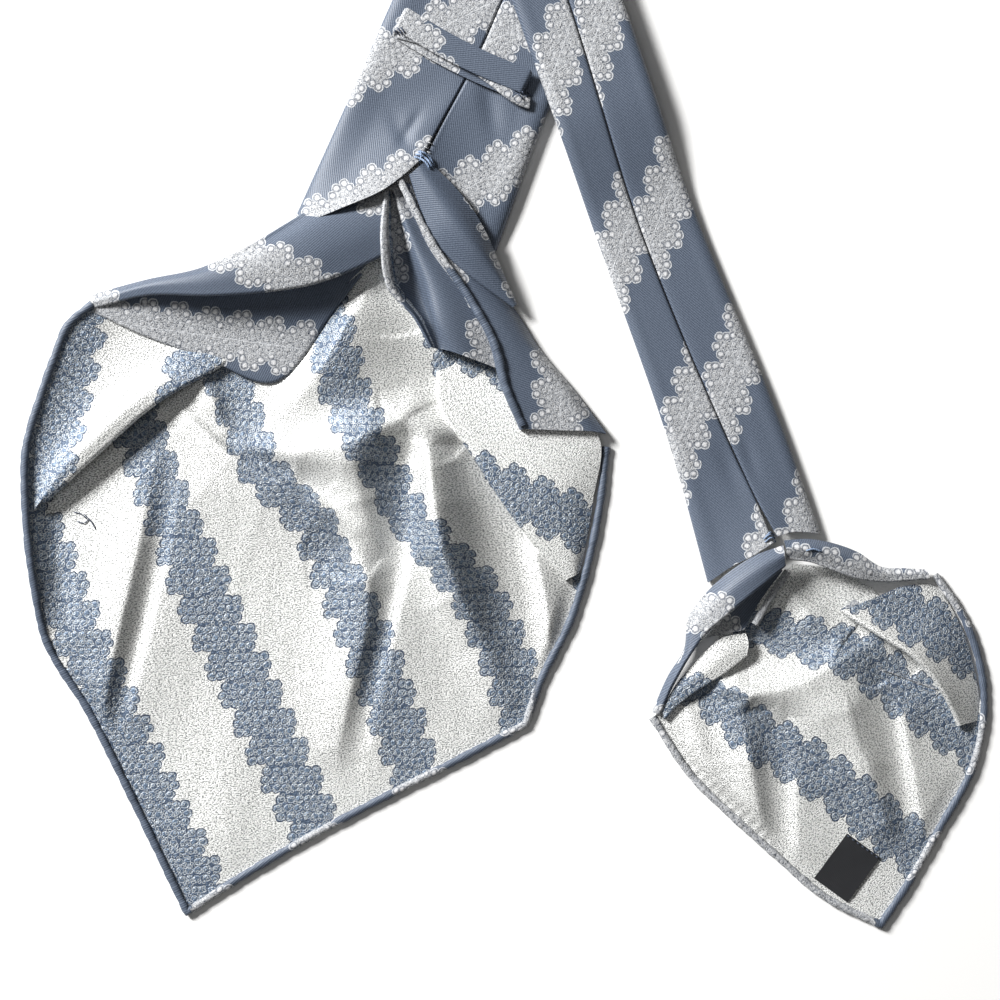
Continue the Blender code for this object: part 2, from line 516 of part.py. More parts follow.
def blade(left_edge, right_edge, seam, lift, rows):
    """Stations down a blade, each straight across it, with the height its underside lies at."""
    left = course(left_edge, rows + 1)
    right = course(right_edge, rows + 1)
    middle = course(seam, rows + 1)
    rise = stepped(lift, 0.5 * (left + right)[:, 1])
    across = (right - left) / np.linalg.norm(right - left, axis=1)[:, None]
    seam_rise = []
    for point in middle:
        reach = point - left
        past = across[:, 1] * reach[:, 0] - across[:, 0] * reach[:, 1]
        if past[-1] < past[0]:
            past = -past
        seam_rise.append(np.interp(0.0, past, rise))
    return Blade(left, right, middle, rise, np.array(seam_rise))


def core(name, shape, share, material):
    """The hidden folds between a blade's two edges, as one rounded solid."""
    sections = []
    stations = int(round(share * len(shape.rise)))
    for a, b, base in list(zip(shape.left, shape.right, shape.rise))[:stations]:
        side = (b - a) / np.linalg.norm(b - a)
        half = 0.5 * np.linalg.norm(b - a) - EDGE_INSET
        outline = np.array(folded_section(half, CORE, CORE_GROOVE))
        place = 0.5 * (a + b) + outline[:, :1] * side
        sections.append(np.column_stack([place, outline[:, 1] + base]))
    return skin(name, sections, material)


def back_fold(name, shape, edge, mouth, side, material):
    """The top layer of one half of a blade, turned down at its edge and open at the mouth."""
    outer = edge[:-1]
    inner = shape.seam[:-1] + np.array([side * -SEAM_HALF_GAP, 0.0])
    width = np.linalg.norm(inner - outer, axis=1)[:, None]
    across = (inner - outer) / width
    outer_rise = shape.rise[:-1]
    lean = shape.seam_rise[:-1] - outer_rise
    lines = []
    for share, further, height, lean_share, mouth_share in BACK_FOLD_RAILS:
        place = outer + across * (width * share + further)
        rail = np.column_stack([place, height + outer_rise + lean * lean_share])
        end = course(mouth, MOUTH_PLACES)[int(round(mouth_share * (MOUTH_PLACES - 1)))]
        opening = end[2] - rail[-1, 2]
        rail[-2, 2] += MOUTH_RISE[0] * opening
        rail[-1, 2] += MOUTH_RISE[1] * opening
        lines.append(np.vstack([rail, end]))
    return wall(name, np.array(lines).transpose(1, 0, 2), material, turned=EDGE_COLUMNS)


def tube(name, path, width, height, material):
    """A rolled hem: a flattened closed tube along a path."""
    along = np.gradient(path, axis=0)
    along /= np.linalg.norm(along, axis=1)[:, None]
    sideways = np.column_stack([-along[:, 1], along[:, 0], np.zeros(len(path))])
    sideways /= np.linalg.norm(sideways, axis=1)[:, None]
    upward = np.cross(along, sideways)
    sections = []
    for centre, side, up in zip(path, sideways, upward):
        if up[2] < 0:
            up = -up
        ring = []
        for corner in range(HEM_SIDES):
            angle = 2 * math.pi * corner / HEM_SIDES
            ring.append(centre + side * 0.5 * width * math.cos(angle) + up * 0.5 * height * math.sin(angle))
        sections.append(np.array(ring))
    return skin(name, sections, material)


# ---- the neck piece: a flat strip folded over itself twice ---------------------------------------

def folded_over(points, at, angle, thick, upward):
    """Folds the strip's points past a line through (at, 0) by half a turn about that line."""
    line = np.array([math.cos(angle), math.sin(angle)])
    normal = np.array([line[1], -line[0]])
    if normal[0] < 0:
        normal = -normal
    reach = 0.5 * math.pi * (thick + GAP)
    axis_height = thick + 0.5 * GAP if upward else -0.5 * GAP
    result = points.copy()
    flat = points[:, :2] - np.array([at, 0.0])
    run = flat @ line
    past = flat @ normal
    turned = past + 0.5 * reach
    arm = np.abs(axis_height - points[:, 2])
    sign = 1.0 if upward else -1.0
    turning = (turned > 0) & (turned < reach)
    over = turned >= reach
    turn = np.where(turning, turned / reach * math.pi, 0.0)
    new_past = np.where(turning, -0.5 * reach + arm * np.sin(turn), np.where(over, -past, past))
    new_height = np.where(turning, axis_height - sign * arm * np.cos(turn),
                          np.where(over, 2 * axis_height - points[:, 2], points[:, 2]))
    place = np.array([at, 0.0]) + run[:, None] * line + new_past[:, None] * normal
    result[:, :2] = place
    result[:, 2] = new_height
    return result


def neck_piece(name, material):
    """The strip is laid out straight, folded at the far mitre, then at the near one."""
    corners = [Vector(NECK_START), Vector(NECK_FIRST_FOLD), Vector(NECK_SECOND_FOLD), Vector(NECK_END)]
    legs = [b - a for a, b in zip(corners, corners[1:])]
    first = legs[0].length
    second = first + legs[1].length
    total = second + legs[2].length
    headings = [math.atan2(leg.y, leg.x) for leg in legs]
    first_line = 0.5 * ((headings[1] - headings[0]) % (2 * math.pi))
    second_line = -0.5 * ((headings[2] - headings[1]) % (2 * math.pi))
    slant = {0.0: 0.0, first: 1 / math.tan(first_line), second: 1 / math.tan(second_line), total: 0.0}
    reach = 0.5 * math.pi * (NECK_THICK + GAP)
    places = []
    for fold, line in ((first, first_line), (second, second_line)):
        spread = reach / abs(math.sin(line))
        places += [(s, 1 / math.tan(line))
                   for s in np.linspace(fold - 0.5 * spread, fold + 0.5 * spread, MITRE_SECTIONS)]
    origins = {"start": 0.0, "first fold": first, "second fold": second, "end": total}
    plain = [origins[origin] + distance for origin, distance in NECK_PLACES]
    for fold in (first, second):
        settled_from = fold + SETTLE_AFTER
        plain += list(np.linspace(settled_from, settled_from + SETTLE_LENGTH, SETTLE_SECTIONS))
    knots = sorted(slant)
    places += [(s, float(np.interp(s, knots, [slant[k] for k in knots]))) for s in plain]
    sections = []
    widths = np.array(NECK_HALF_WIDTH)
    for s, lean in sorted(places):
        half = float(np.interp(s, widths[:, 0], widths[:, 1]))
        outline = np.array(folded_section(half, NECK_THICK, NECK_GROOVE))
        points = np.column_stack([s + lean * outline[:, 0], outline[:, 0], outline[:, 1]])
        settled = (ease((points[:, 0] - first - SETTLE_AFTER) / SETTLE_LENGTH)
                   + ease((points[:, 0] - second - SETTLE_AFTER) / SETTLE_LENGTH))
        points = folded_over(points, second, second_line, NECK_THICK, False)
        points = folded_over(points, first, first_line, NECK_THICK, True)
        points[:, 2] -= settled * (NECK_THICK + GAP)
        sections.append(points)
    turn = np.array([[math.cos(headings[0]), math.sin(headings[0])],
                     [-math.sin(headings[0]), math.cos(headings[0])]])
    for points in sections:
        points[:, :2] = points[:, :2] @ turn + np.array(NECK_START)
    return skin(name, sections, material)


# ---- the tie ---------------------------------------------------------------------------------

def keeper_loop(material):
    """A flat ring: the strap on top, its ends turned under, and the back layer below it."""
    start, end = (np.array(place) for place in KEEPER_ENDS)
    length = np.linalg.norm(end - start)
    along = (end - start) / length
    down = np.array([along[1], -along[0]])
    base = BACK_TOP + KEEPER_CLEAR
    outer_height = 2 * CLOTH + KEEPER_HOLLOW
    half_round = [(-math.sin(a), -math.cos(a)) for a in np.linspace(0, math.pi, KEEPER_TURN_POINTS)]

    def ring(inset):
        radius = 0.5 * outer_height - inset
        middle = 0.5 * outer_height
        left = [(0.5 * outer_height + x * radius, middle + z * radius) for x, z in half_round]
        spans = [length * share for share in KEEPER_SPANS]
        right = [(length - x, z) for x, z in reversed(left)]
        top = [(x, left[-1][1]) for x in spans]
        bottom = [(x, left[0][1]) for x in reversed(spans)]
        return left + top + right + bottom

    points = []
    for inset in (0.0, CLOTH):
        for x, z in ring(inset):
            share = x / length
            sag = KEEPER_SAG * math.sin(math.pi * share)
            shift = KEEPER_SHIFT * (1 - z / outer_height)
            for across in (-0.5 * KEEPER_WIDTH, 0.5 * KEEPER_WIDTH):
                place = start + along * x + down * (across + shift + sag)
                points.append((place[0], place[1], base + z))
    count = len(ring(0.0))
    faces = []
    for corner in range(count):
        a, b = 2 * corner, 2 * ((corner + 1) % count)
        inner_a, inner_b = a + 2 * count, b + 2 * count
        faces.append([a, b, b + 1, a + 1])
        faces.append([inner_a + 1, inner_b + 1, inner_b, inner_a])
        faces.append([a, inner_a, inner_b, b])
        faces.append([b + 1, inner_b + 1, inner_a + 1, a + 1])
    return solid("keeper_loop", points, faces, material)


def care_label(surface, material):
    """A small woven slab that follows the sheet it is sewn to."""
    turn = math.radians(LABEL_TURN)
    across = np.array([math.cos(turn), math.sin(turn)])
    along = np.array([-math.sin(turn), math.cos(turn)])
    rows, columns = GRIDS["care_label"]
    grid = np.zeros((rows, columns, 3))
    for row in range(rows):
        for column in range(columns):
            grid[row, column, :2] = (np.array(LABEL_CENTRE)
                                     + across * LABEL_SIZE[0] * (column / (columns - 1) - 0.5)
                                     + along * LABEL_SIZE[1] * (row / (rows - 1) - 0.5))
    grid[:, :, 2] = surface(grid[:, :, 0], grid[:, :, 1]) + GAP + LABEL_THICK + LABEL_CLEAR
    return wall("care_label", grid, material, LABEL_THICK)


def hem_path(rows, corners, surface):
    """The middle of a rolled hem, level with the sheet it finishes."""
    path = with_corners(rows, corners, HEM_STEP)
    height = surface(path[:, 0], path[:, 1]) - CLOTH + 0.5 * HEM_HEIGHT
    return np.column_stack([path, height])


def sheet_surface(creases, hem):
    """Height of a sheet's upper side: its folds die out towards the hem."""
    def height(x, y):
        flat_x, flat_y = np.ravel(x), np.ravel(y)
        away = np.sqrt((flat_x[:, None] - hem[None, :, 0])**2 + (flat_y[:, None] - hem[None, :, 1])**2)
        pinned = ease(away.min(axis=1).reshape(np.shape(x)) / FOLD_DIES_OUT)
        return CLOTH + relief(creases, x, y) * pinned

    return height


def raised(grid, surface):
    """The flat grid lifted onto the sheet's surface."""
    height = surface(grid[:, :, 0], grid[:, :, 1])
    return np.concatenate([grid, height[:, :, None]], axis=2)


def lofted(name, rails, material, turned=()):
    """A layer of cloth through its rails."""
    grid = loft(rails, *GRIDS[name])
    if name in TURNS:
        return wall(name, turned_under(grid, *TURNS[name]), material, turned=FOLD_COLUMNS)
    return wall(name, grid, material, turned=turned)


def build():
    face = cloth_material("silk_face", (0.105, 0.150, 0.235), 0.42)
    reverse = cloth_material("silk_reverse", (0.72, 0.73, 0.72), 0.38)
    hem = cloth_material("silk_hem", (0.12, 0.17, 0.26), 0.5)
    label = cloth_material("label_black", (0.012, 0.013, 0.014), 0.7)
    hem_inside = 0.5 * HEM_WIDTH + 2 * GAP

    front = blade(FRONT_LEFT_EDGE, FRONT_RIGHT_EDGE, FRONT_SEAM, FRONT_LIFT, FRONT_STATIONS)
    core("front_core", front, FRONT_CORE_END, face)
    back_fold("front_back_left", front, front.left, FRONT_LEFT_MOUTH, 1, face)
    back_fold("front_back_right", front, front.right, FRONT_RIGHT_MOUTH[::-1], -1, face)

    corners = [FRONT_HEM_TIP, FRONT_HEM_CORNER]
    front_height = sheet_surface(FRONT_CREASES, with_corners(FRONT_HEM, corners, 0.5 * HEM_STEP))
    path = with_corners(FRONT_HEM, corners, HEM_STEP)
    inner = inset(path, hem_inside)
    start, tip, corner, end = (FRONT_HEM[row] for row in (
        FRONT_HEM_START, FRONT_HEM_TIP, FRONT_HEM_CORNER, FRONT_HEM_END))
    left_side = stretch_of(path, inner, start, tip)[::-1]
    bottom = stretch_of(path, inner, tip, corner)
    right_side = stretch_of(path, inner, corner, end) + FRONT_UNDER_RIGHT
    top = left_side[-1:] + FRONT_UNDER_LEFT
    flat = patch(left_side, right_side, bottom, top, *GRIDS["front_sheet"])
    wall("front_sheet", raised(flat, front_height), reverse)
    lofted("front_left_pleat", LEFT_PLEAT, reverse)
    lofted("front_left_under_fold", LEFT_UNDER_FOLD, face)
    lofted("front_left_roll", LEFT_ROLL, face)
    lofted("front_right_petal", RIGHT_PETAL, face)
    lofted("front_right_band", RIGHT_BAND, face)
    lofted("front_right_hollow_pleat", RIGHT_HOLLOW_PLEAT, face)
    lofted("front_right_turned_flap", RIGHT_TURNED_FLAP, reverse)
    tube("front_hem", hem_path(FRONT_HEM, corners, front_height), HEM_WIDTH, HEM_HEIGHT, hem)

    keeper_loop(face)
    neck_piece("neck_band", face)

    tail = blade(TAIL_LEFT_EDGE, TAIL_RIGHT_EDGE, TAIL_SEAM, TAIL_LIFT, TAIL_STATIONS)
    core("tail_core", tail, TAIL_CORE_END, face)
    back_fold("tail_back_left", tail, tail.left, TAIL_LEFT_MOUTH, 1, face)
    back_fold("tail_back_right", tail, tail.right, TAIL_RIGHT_MOUTH[::-1], -1, face)

    corners = [TAIL_HEM_TIP]
    tail_height = sheet_surface(TAIL_CREASES, with_corners(TAIL_HEM, corners, 0.5 * HEM_STEP))
    path = with_corners(TAIL_HEM, corners, HEM_STEP)
    inner = inset(path, hem_inside)
    start, tip, end = TAIL_HEM[0], TAIL_HEM[TAIL_HEM_TIP], TAIL_HEM[TAIL_HEM_END]
    left_side = stretch_of(path, inner, start, tip)[::-1]
    right_side = stretch_of(path, inner, tip, end) + TAIL_UNDER_RIGHT
    under_left = left_side[-1:] + TAIL_UNDER_LEFT
    flat = patch(right_side, under_left, left_side, TAIL_UNDER_TOP, *GRIDS["tail_sheet"])
    wall("tail_sheet", raised(flat, tail_height), reverse)
    lofted("tail_left_roll", TAIL_LEFT_ROLL, face, turned=ALL_COLUMNS)
    lofted("tail_left_inner_fold", TAIL_LEFT_INNER_FOLD, face)
    lofted("tail_left_turned_flap", TAIL_LEFT_TURNED_FLAP, reverse)
    narrow = course(TAIL_NARROW_ROLL, NARROW_ROLL_SECTIONS)
    tube("tail_narrow_roll", narrow, NARROW_ROLL_WIDTH, NARROW_ROLL_HEIGHT, hem)
    lofted("tail_top_fold", TAIL_TOP_FOLD, face)
    lofted("tail_right_turned_flap", TAIL_RIGHT_TURNED_FLAP, reverse)
    tube("tail_hem", hem_path(TAIL_HEM, corners, tail_height), HEM_WIDTH, HEM_HEIGHT, hem)
    care_label(tail_height, label)


def centre_on_origin():
    """Moves the whole tie so that its box's centre is over the origin, on its surface."""
    pieces = [piece for piece in bpy.context.scene.objects if piece.type == "MESH"]
    corners = np.array([vertex.co for piece in pieces for vertex in piece.data.vertices])
    middle = 0.5 * (corners.min(axis=0) + corners.max(axis=0))
    root = bpy.data.objects.new("tie", None)
    bpy.context.scene.collection.objects.link(root)
    root.location = (-middle[0], -middle[1], 0.0)
    for piece in pieces:
        piece.parent = root


for leftover in list(bpy.data.objects):
    bpy.data.objects.remove(leftover)
build()
centre_on_origin()
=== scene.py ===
"""A seven-fold tie laid flat, seam side up: its silk, folds, rolled hems, label and stitches.

Places and sizes are in millimetres on the surface the tie lies on, x to the right and y up
the length of the tie, with z the height above that surface. Each piece is moved into the
model's frame as its mesh is made.
"""
import math
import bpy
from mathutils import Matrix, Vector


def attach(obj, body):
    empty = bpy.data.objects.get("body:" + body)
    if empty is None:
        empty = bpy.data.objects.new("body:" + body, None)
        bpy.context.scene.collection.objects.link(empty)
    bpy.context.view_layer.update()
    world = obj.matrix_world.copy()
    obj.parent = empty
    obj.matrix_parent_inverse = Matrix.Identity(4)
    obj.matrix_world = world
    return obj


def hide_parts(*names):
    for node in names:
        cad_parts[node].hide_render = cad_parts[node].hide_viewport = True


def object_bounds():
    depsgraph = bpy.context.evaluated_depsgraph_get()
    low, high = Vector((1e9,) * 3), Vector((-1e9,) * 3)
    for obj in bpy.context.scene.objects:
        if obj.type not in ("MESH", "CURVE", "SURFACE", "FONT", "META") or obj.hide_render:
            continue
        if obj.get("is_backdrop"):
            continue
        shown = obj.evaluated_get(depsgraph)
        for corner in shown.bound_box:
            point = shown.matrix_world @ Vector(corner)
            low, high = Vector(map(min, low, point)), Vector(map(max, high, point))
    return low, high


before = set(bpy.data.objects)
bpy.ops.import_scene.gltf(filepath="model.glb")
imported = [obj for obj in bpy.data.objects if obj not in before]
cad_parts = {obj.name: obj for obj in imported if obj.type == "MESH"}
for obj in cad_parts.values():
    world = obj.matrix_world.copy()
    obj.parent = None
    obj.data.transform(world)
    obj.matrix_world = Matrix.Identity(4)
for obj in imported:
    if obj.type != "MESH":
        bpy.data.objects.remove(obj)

from types import SimpleNamespace

import bpy
import numpy as np

cad_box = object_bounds()
bpy.ops.object.select_all(action="DESELECT")

# ---- camera: straight above the two open tips, with the neck beyond the top of the view --------
# The view is 375 mm wide on the surface, and its middle is the middle of the laid cloth.
# An 85 mm lens looks straight down, so it is turned by nothing.
MM = 0.001
TO_MODEL = np.array([-2.1586, -156.5416, 0.0])   # from the laid cloth to the model's frame
VIEW_WIDTH = 375.0
VIEW_LEVEL = 3.0        # the height above the table at which the view is that wide
LENS = 85.0
SENSOR = 36.0
camera_data = bpy.data.cameras.new("camera")
camera_data.lens = LENS
camera_data.sensor_width = SENSOR
camera = bpy.data.objects.new("camera", camera_data)
camera.location = (TO_MODEL[0] * MM, TO_MODEL[1] * MM, (VIEW_WIDTH * LENS / SENSOR + VIEW_LEVEL) * MM)
bpy.context.scene.collection.objects.link(camera)
bpy.context.scene.camera = camera

# ---- light and surface: a white table under a soft light from the upper left -------------------
# A large lamp low on the upper left draws the folds and shades their far sides. A weaker one
# from above and the pale room fill the dark sides. The table is plain matt white.
bpy.context.scene.view_settings.view_transform = "Standard"
LAMPS = [("key", (-1.86, 1.25, 1.42), 0.70, 162.0), ("top", (-0.30, 0.0, 1.40), 0.80, 1.4)]
LAMP_TARGET = np.array([0.0, -0.15, 0.0])
ROOM_STRENGTH = 0.07
for lamp_name, place, size, power in LAMPS:
    lamp_data = bpy.data.lights.new(lamp_name, "AREA")
    lamp_data.shape = "SQUARE"
    lamp_data.size = size
    lamp_data.energy = power
    lamp = bpy.data.objects.new(lamp_name, lamp_data)
    aim = LAMP_TARGET - np.array(place)
    yaw = math.atan2(aim[1], aim[0])
    tilt = math.atan2(math.hypot(aim[0], aim[1]), -aim[2])
    lamp.rotation_euler = (tilt, 0.0, yaw - math.pi / 2)
    lamp.location = place
    bpy.context.scene.collection.objects.link(lamp)

world = bpy.data.worlds.new("pale room")
world.use_nodes = True
world.node_tree.nodes["Background"].inputs["Color"].default_value = (1.0, 1.0, 1.0, 1.0)
world.node_tree.nodes["Background"].inputs["Strength"].default_value = ROOM_STRENGTH
bpy.context.scene.world = world

TABLE_SIZE = 6.0
TABLE_DROP = 0.0002     # the table's top lies this much below the cloth, so that they don't coincide
bpy.ops.mesh.primitive_plane_add(size=TABLE_SIZE, location=(0.0, 0.0, -TABLE_DROP))
table = bpy.context.active_object
table.name = "table"
table_white = bpy.data.materials.new("table_white")
table_white.use_nodes = True
table_shader = table_white.node_tree.nodes["Principled BSDF"]
table_shader.inputs["Base Color"].default_value = (0.98, 0.975, 0.96, 1.0)
table_shader.inputs["Roughness"].default_value = 0.9
table_shader.inputs["Specular IOR Level"].default_value = 0.1
table.data.materials.append(table_white)
table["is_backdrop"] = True
bpy.ops.object.select_all(action="DESELECT")

# ---- front blade, hidden folds: seven thicknesses of silk between the blade's two edges --------
# The tie is folded from jacquard silk that is cut on the bias. Its inner folds show only as thin
# edges at the sides of the blade and in its mouth, and the lowest layer is the blade's face.


def distances(rows):
    """How far along a line each of its points lies, from 0 at the first."""
    return np.concatenate([[0.0], np.cumsum(np.linalg.norm(np.diff(rows, axis=0), axis=1))])


def on_curve(rows, at, left, share):
    """Points on the smooth curve through the rows, a share of the way from row left to the next."""
    slopes = np.gradient(rows, at, axis=0)
    span = (at[left + 1] - at[left])[:, None]
    t = share[:, None]
    return ((2 * t**3 - 3 * t**2 + 1) * rows[left] + (t**3 - 2 * t**2 + t) * span * slopes[left]
            + (3 * t**2 - 2 * t**3) * rows[left + 1] + (t**3 - t**2) * span * slopes[left + 1])


def course(rows, count):
    """Points along a smooth curve through the rows, evenly spaced by their chords."""
    rows = np.array(rows, dtype=float)
    at = distances(rows)
    wanted = np.linspace(0.0, at[-1], count)
    left = np.clip(np.searchsorted(at, wanted, side="right") - 1, 0, len(at) - 2)
    return on_curve(rows, at, left, (wanted - at[left]) / (at[left + 1] - at[left]))


def unit(rows):
    """The rows' directions, each of length 1."""
    return rows / np.linalg.norm(rows, axis=1)[:, None]


def ease(t):
    """0 to 1 with level ends."""
    t = np.clip(t, 0.0, 1.0)
    return t * t * (3 - 2 * t)


def stepped(table_rows, wanted):
    """A value that eases from row to row of a table of (place, value)."""
    rows = sorted(table_rows)
    result = np.full(np.shape(wanted), rows[0][1], dtype=float)
    for (start, low), (end, high) in zip(rows, rows[1:]):
        result += (high - low) * ease((np.asarray(wanted) - start) / (end - start))
    return result


def blade(left_edge, right_edge, seam, lift, rows):
    """Stations down a blade: left edge, right edge, seam, and the heights they lie at."""
    left, right, middle = (course(line, rows + 1) for line in (left_edge, right_edge, seam))
    rise = stepped(lift, 0.5 * (left + right)[:, 1])
    across = unit(right - left)
    seam_rise = []
    for point in middle:
        reach = point - left
        past = across[:, 1] * reach[:, 0] - across[:, 0] * reach[:, 1]
        if past[-1] < past[0]:
            past = -past
        seam_rise.append(np.interp(0.0, past, rise))
    return left, right, middle, rise, np.array(seam_rise)


class Weave:
    """A value that changes over a material. Arithmetic on it adds the nodes for it."""

    def __init__(self, tree, socket):
        self.tree = tree
        self.socket = socket

    def node(self, kind, settings, sockets, output=0):
        made = self.tree.nodes.new(kind)
        for name, value in settings.items():
            setattr(made, name, value)
        for name, value in sockets.items():
            if isinstance(value, Weave):
                self.tree.links.new(value.socket, made.inputs[name])
            else:
                made.inputs[name].default_value = value
        return Weave(self.tree, made.outputs[output])

    def math(self, operation, *others):
        return self.node("ShaderNodeMath", {"operation": operation}, dict(enumerate((self, *others))))

    def __add__(self, other):
        return self.math("ADD", other)

    def __sub__(self, other):
        return self.math("SUBTRACT", other)

    def __rsub__(self, other):
        return self.node("ShaderNodeMath", {"operation": "SUBTRACT"}, {0: other, 1: self})

    def __mul__(self, other):
        return self.math("MULTIPLY", other)

    def __truediv__(self, other):
        return self.math("DIVIDE", other)

    def __lt__(self, other):
        return self.math("LESS_THAN", other)

    __radd__ = __add__
    __rmul__ = __mul__

    def size(self):
        return self.math("ABSOLUTE")

    def part(self, number):
        """One of the three numbers of a place or a colour."""
        return self.node("ShaderNodeSeparateXYZ", {}, {0: self}, number)

    def rises(self, low, high):
        """0 below low, 1 above high, and a smooth step between them."""
        return self.node("ShaderNodeMapRange", {"interpolation_type": "SMOOTHSTEP"},
                         {"Value": self, "From Min": low, "From Max": high})

    def between(self, low, high, soft):
        """1 from low to high, fading over the soft distance outside them."""
        return self.rises(low - soft, low) * (1 - self.rises(high, high + soft))

    def mixed(self, first, second):
        """A colour from first where this is 0 to second where it is 1."""
        return self.node("ShaderNodeMix", {"data_type": "RGBA"}, {0: self, 6: first, 7: second}, 2)


def linear(red, green, blue):
    """The light of a colour given as it looks, 0 to 255."""
    parts = []
    for part in (red, green, blue):
        part = part / 255.0
        parts.append(part / 12.92 if part <= 0.04045 else ((part + 0.055) / 1.055) ** 2.4)
    return (*parts, 1.0)


STRIPE_APART = 45.0     # from one lace stripe to the next
TILT = math.radians(24.8)   # the stripe runs across the threads at this angle
BLOCK = 10.7            # the stripe steps sideways once in this length of the threads
SHELF = BLOCK * math.tan(TILT)
COLUMN = 3.2            # from one scallop to the next across the threads
OUTER = 3               # scallops to each side of a block's middle one
ROW = 3.2               # from one scallop to the next along the threads, three to a block
BARREL = 0.9            # the first and last row of a block are this much narrower
RIM = 1.95              # radius of one scallop, more than half its width, so that they overlap
STRAY = 0.8             # how far the scallops lie off even rows
WOBBLE = 0.8            # how much the threads blur their round outlines


def lace(start):
    """Masks over the cloth: the lace stripe, its scallops' rims, eyes and curls, and its leaf line."""
    place = start.node("ShaderNodeUVMap", {"uv_map": "cloth"}, {})
    along, across = place.part(0), place.part(1)
    # each point's block of the stripe, and where it lies from the block's middle
    weft = across * math.cos(TILT) + along * math.sin(TILT)
    warp = along * math.cos(TILT) - across * math.sin(TILT)
    step = warp / BLOCK
    block = step.math("FLOOR")
    share = step - block - 0.5
    beside = weft - (block + 0.5) * SHELF
    pitch = STRIPE_APART / math.cos(TILT)
    stripe = (beside / pitch).math("ROUND")
    beside = beside - stripe * pitch
    # the nearest scallop, which strays a little from its row and column
    row = (share * (BLOCK / ROW)).math("ROUND").math("MINIMUM", 1.0).math("MAXIMUM", -1.0)
    narrow = 1 - row.size() * (BARREL / (OUTER * COLUMN))
    column = (beside / (narrow * COLUMN)).math("ROUND").math("MINIMUM", OUTER).math("MAXIMUM", -OUTER)
    which = place.node("ShaderNodeCombineXYZ", {}, {0: column, 1: row + block * 3.0, 2: stripe})
    chance = place.node("ShaderNodeTexWhiteNoise", {}, {"Vector": which}, "Color")
    side = beside - column * narrow * COLUMN + (chance.part(0) - 0.5) * STRAY
    down = share * BLOCK - row * ROW + (chance.part(1) - 0.5) * (0.5 * STRAY)
    wobble = place.node("ShaderNodeTexNoise", {}, {"Vector": place, "Scale": 0.55, "Detail": 1.0})
    reach = (side * side + down * down).math("SQRT") + (wobble - 0.5) * WOBBLE
    # the stripe is the scallops and the solid weave between them
    lobes = 1 - reach.rises(RIM - 0.06, RIM + 0.06)
    half_shelf = share.math("SIGN") * (0.5 * SHELF)
    shared = (beside - half_shelf).size()
    solid = OUTER * COLUMN - 0.1
    fill = (beside.size() < solid - 0.4) * (share.size() < 0.36)
    fill = fill.math("MAXIMUM", shared < solid - 0.5 * SHELF)
    mask = lobes.math("MAXIMUM", fill)
    edge_lobe = column.size().rises(OUTER - 0.6, OUTER - 0.4)
    end_lobe = row.size().rises(0.4, 0.6) * (1 - (shared < 5.4))
    loop = place.node("ShaderNodeTexVoronoi", {"voronoi_dimensions": "2D"},
                      {"Vector": place, "Scale": 0.62, "Randomness": 1.0})
    grain = place.node("ShaderNodeTexVoronoi", {"feature": "DISTANCE_TO_EDGE"},
                       {"Vector": place, "Scale": 0.8, "Randomness": 1.0})
    speck = place.node("ShaderNodeTexNoise", {},
                       {"Vector": place, "Scale": 1.9, "Detail": 2.0, "Roughness": 0.7})
    off = across - (across / STRIPE_APART).math("ROUND") * STRIPE_APART
    return SimpleNamespace(
        place=place, along=along, across=across, mask=mask, speck=speck,
        border=edge_lobe.math("MAXIMUM", end_lobe),
        outline=reach.between(RIM - 0.26, RIM + 0.2, 0.08) * mask * (1 - fill),
        net=reach.between(RIM - 0.5, RIM + 0.4, 0.15) * mask,
        eye=1 - reach.rises(0.35, 1.2),
        ring=reach.between(1.1, 1.35, 0.15) * mask,
        curl=loop.between(0.27, 0.36, 0.05),
        curl_shade=loop.between(0.42, 0.50, 0.05),
        crackle=1 - grain.rises(0.06, 0.2),
        leaf=1 - off.size().rises(0.1, 0.25))


def twill(place, turn, pitch):
    """Fine diagonal ribs of the weave, 0 to 1 across each rib."""
    angle = math.radians(turn)
    rib = (place.part(0) * (math.cos(angle) * 2 * math.pi / pitch)
           + place.part(1) * (math.sin(angle) * 2 * math.pi / pitch))
    return rib.math("SINE") * 0.5 + 0.5


def inlaid(colour, threads):
    """A colour with further ones (mask, red, green, blue) woven over it in turn."""
    for mask, *thread in threads:
        colour = mask.mixed(colour, linear(*thread))
    return colour


def silk(name, roughness, sheen):
    """An empty silk material: its shader, and a first value to build on."""
    material = bpy.data.materials.new(name)
    material.use_nodes = True
    shader = material.node_tree.nodes["Principled BSDF"]
    shader.inputs["Roughness"].default_value = roughness
    shader.inputs["Sheen Weight"].default_value = sheen
    shader.inputs["Sheen Roughness"].default_value = 0.4
    return material, shader, Weave(material.node_tree, None)


def finish_silk(shader, start, colour, rough, height, depth):
    """Links the colour, the roughness and the relief of a weave to its shader."""
    bump = start.node("ShaderNodeBump", {}, {"Height": height, "Distance": depth, "Strength": 1.0})
    for value, socket in ((colour, "Base Color"), (rough, "Roughness"), (bump, "Normal")):
        start.tree.links.new(value.socket, shader.inputs[socket])


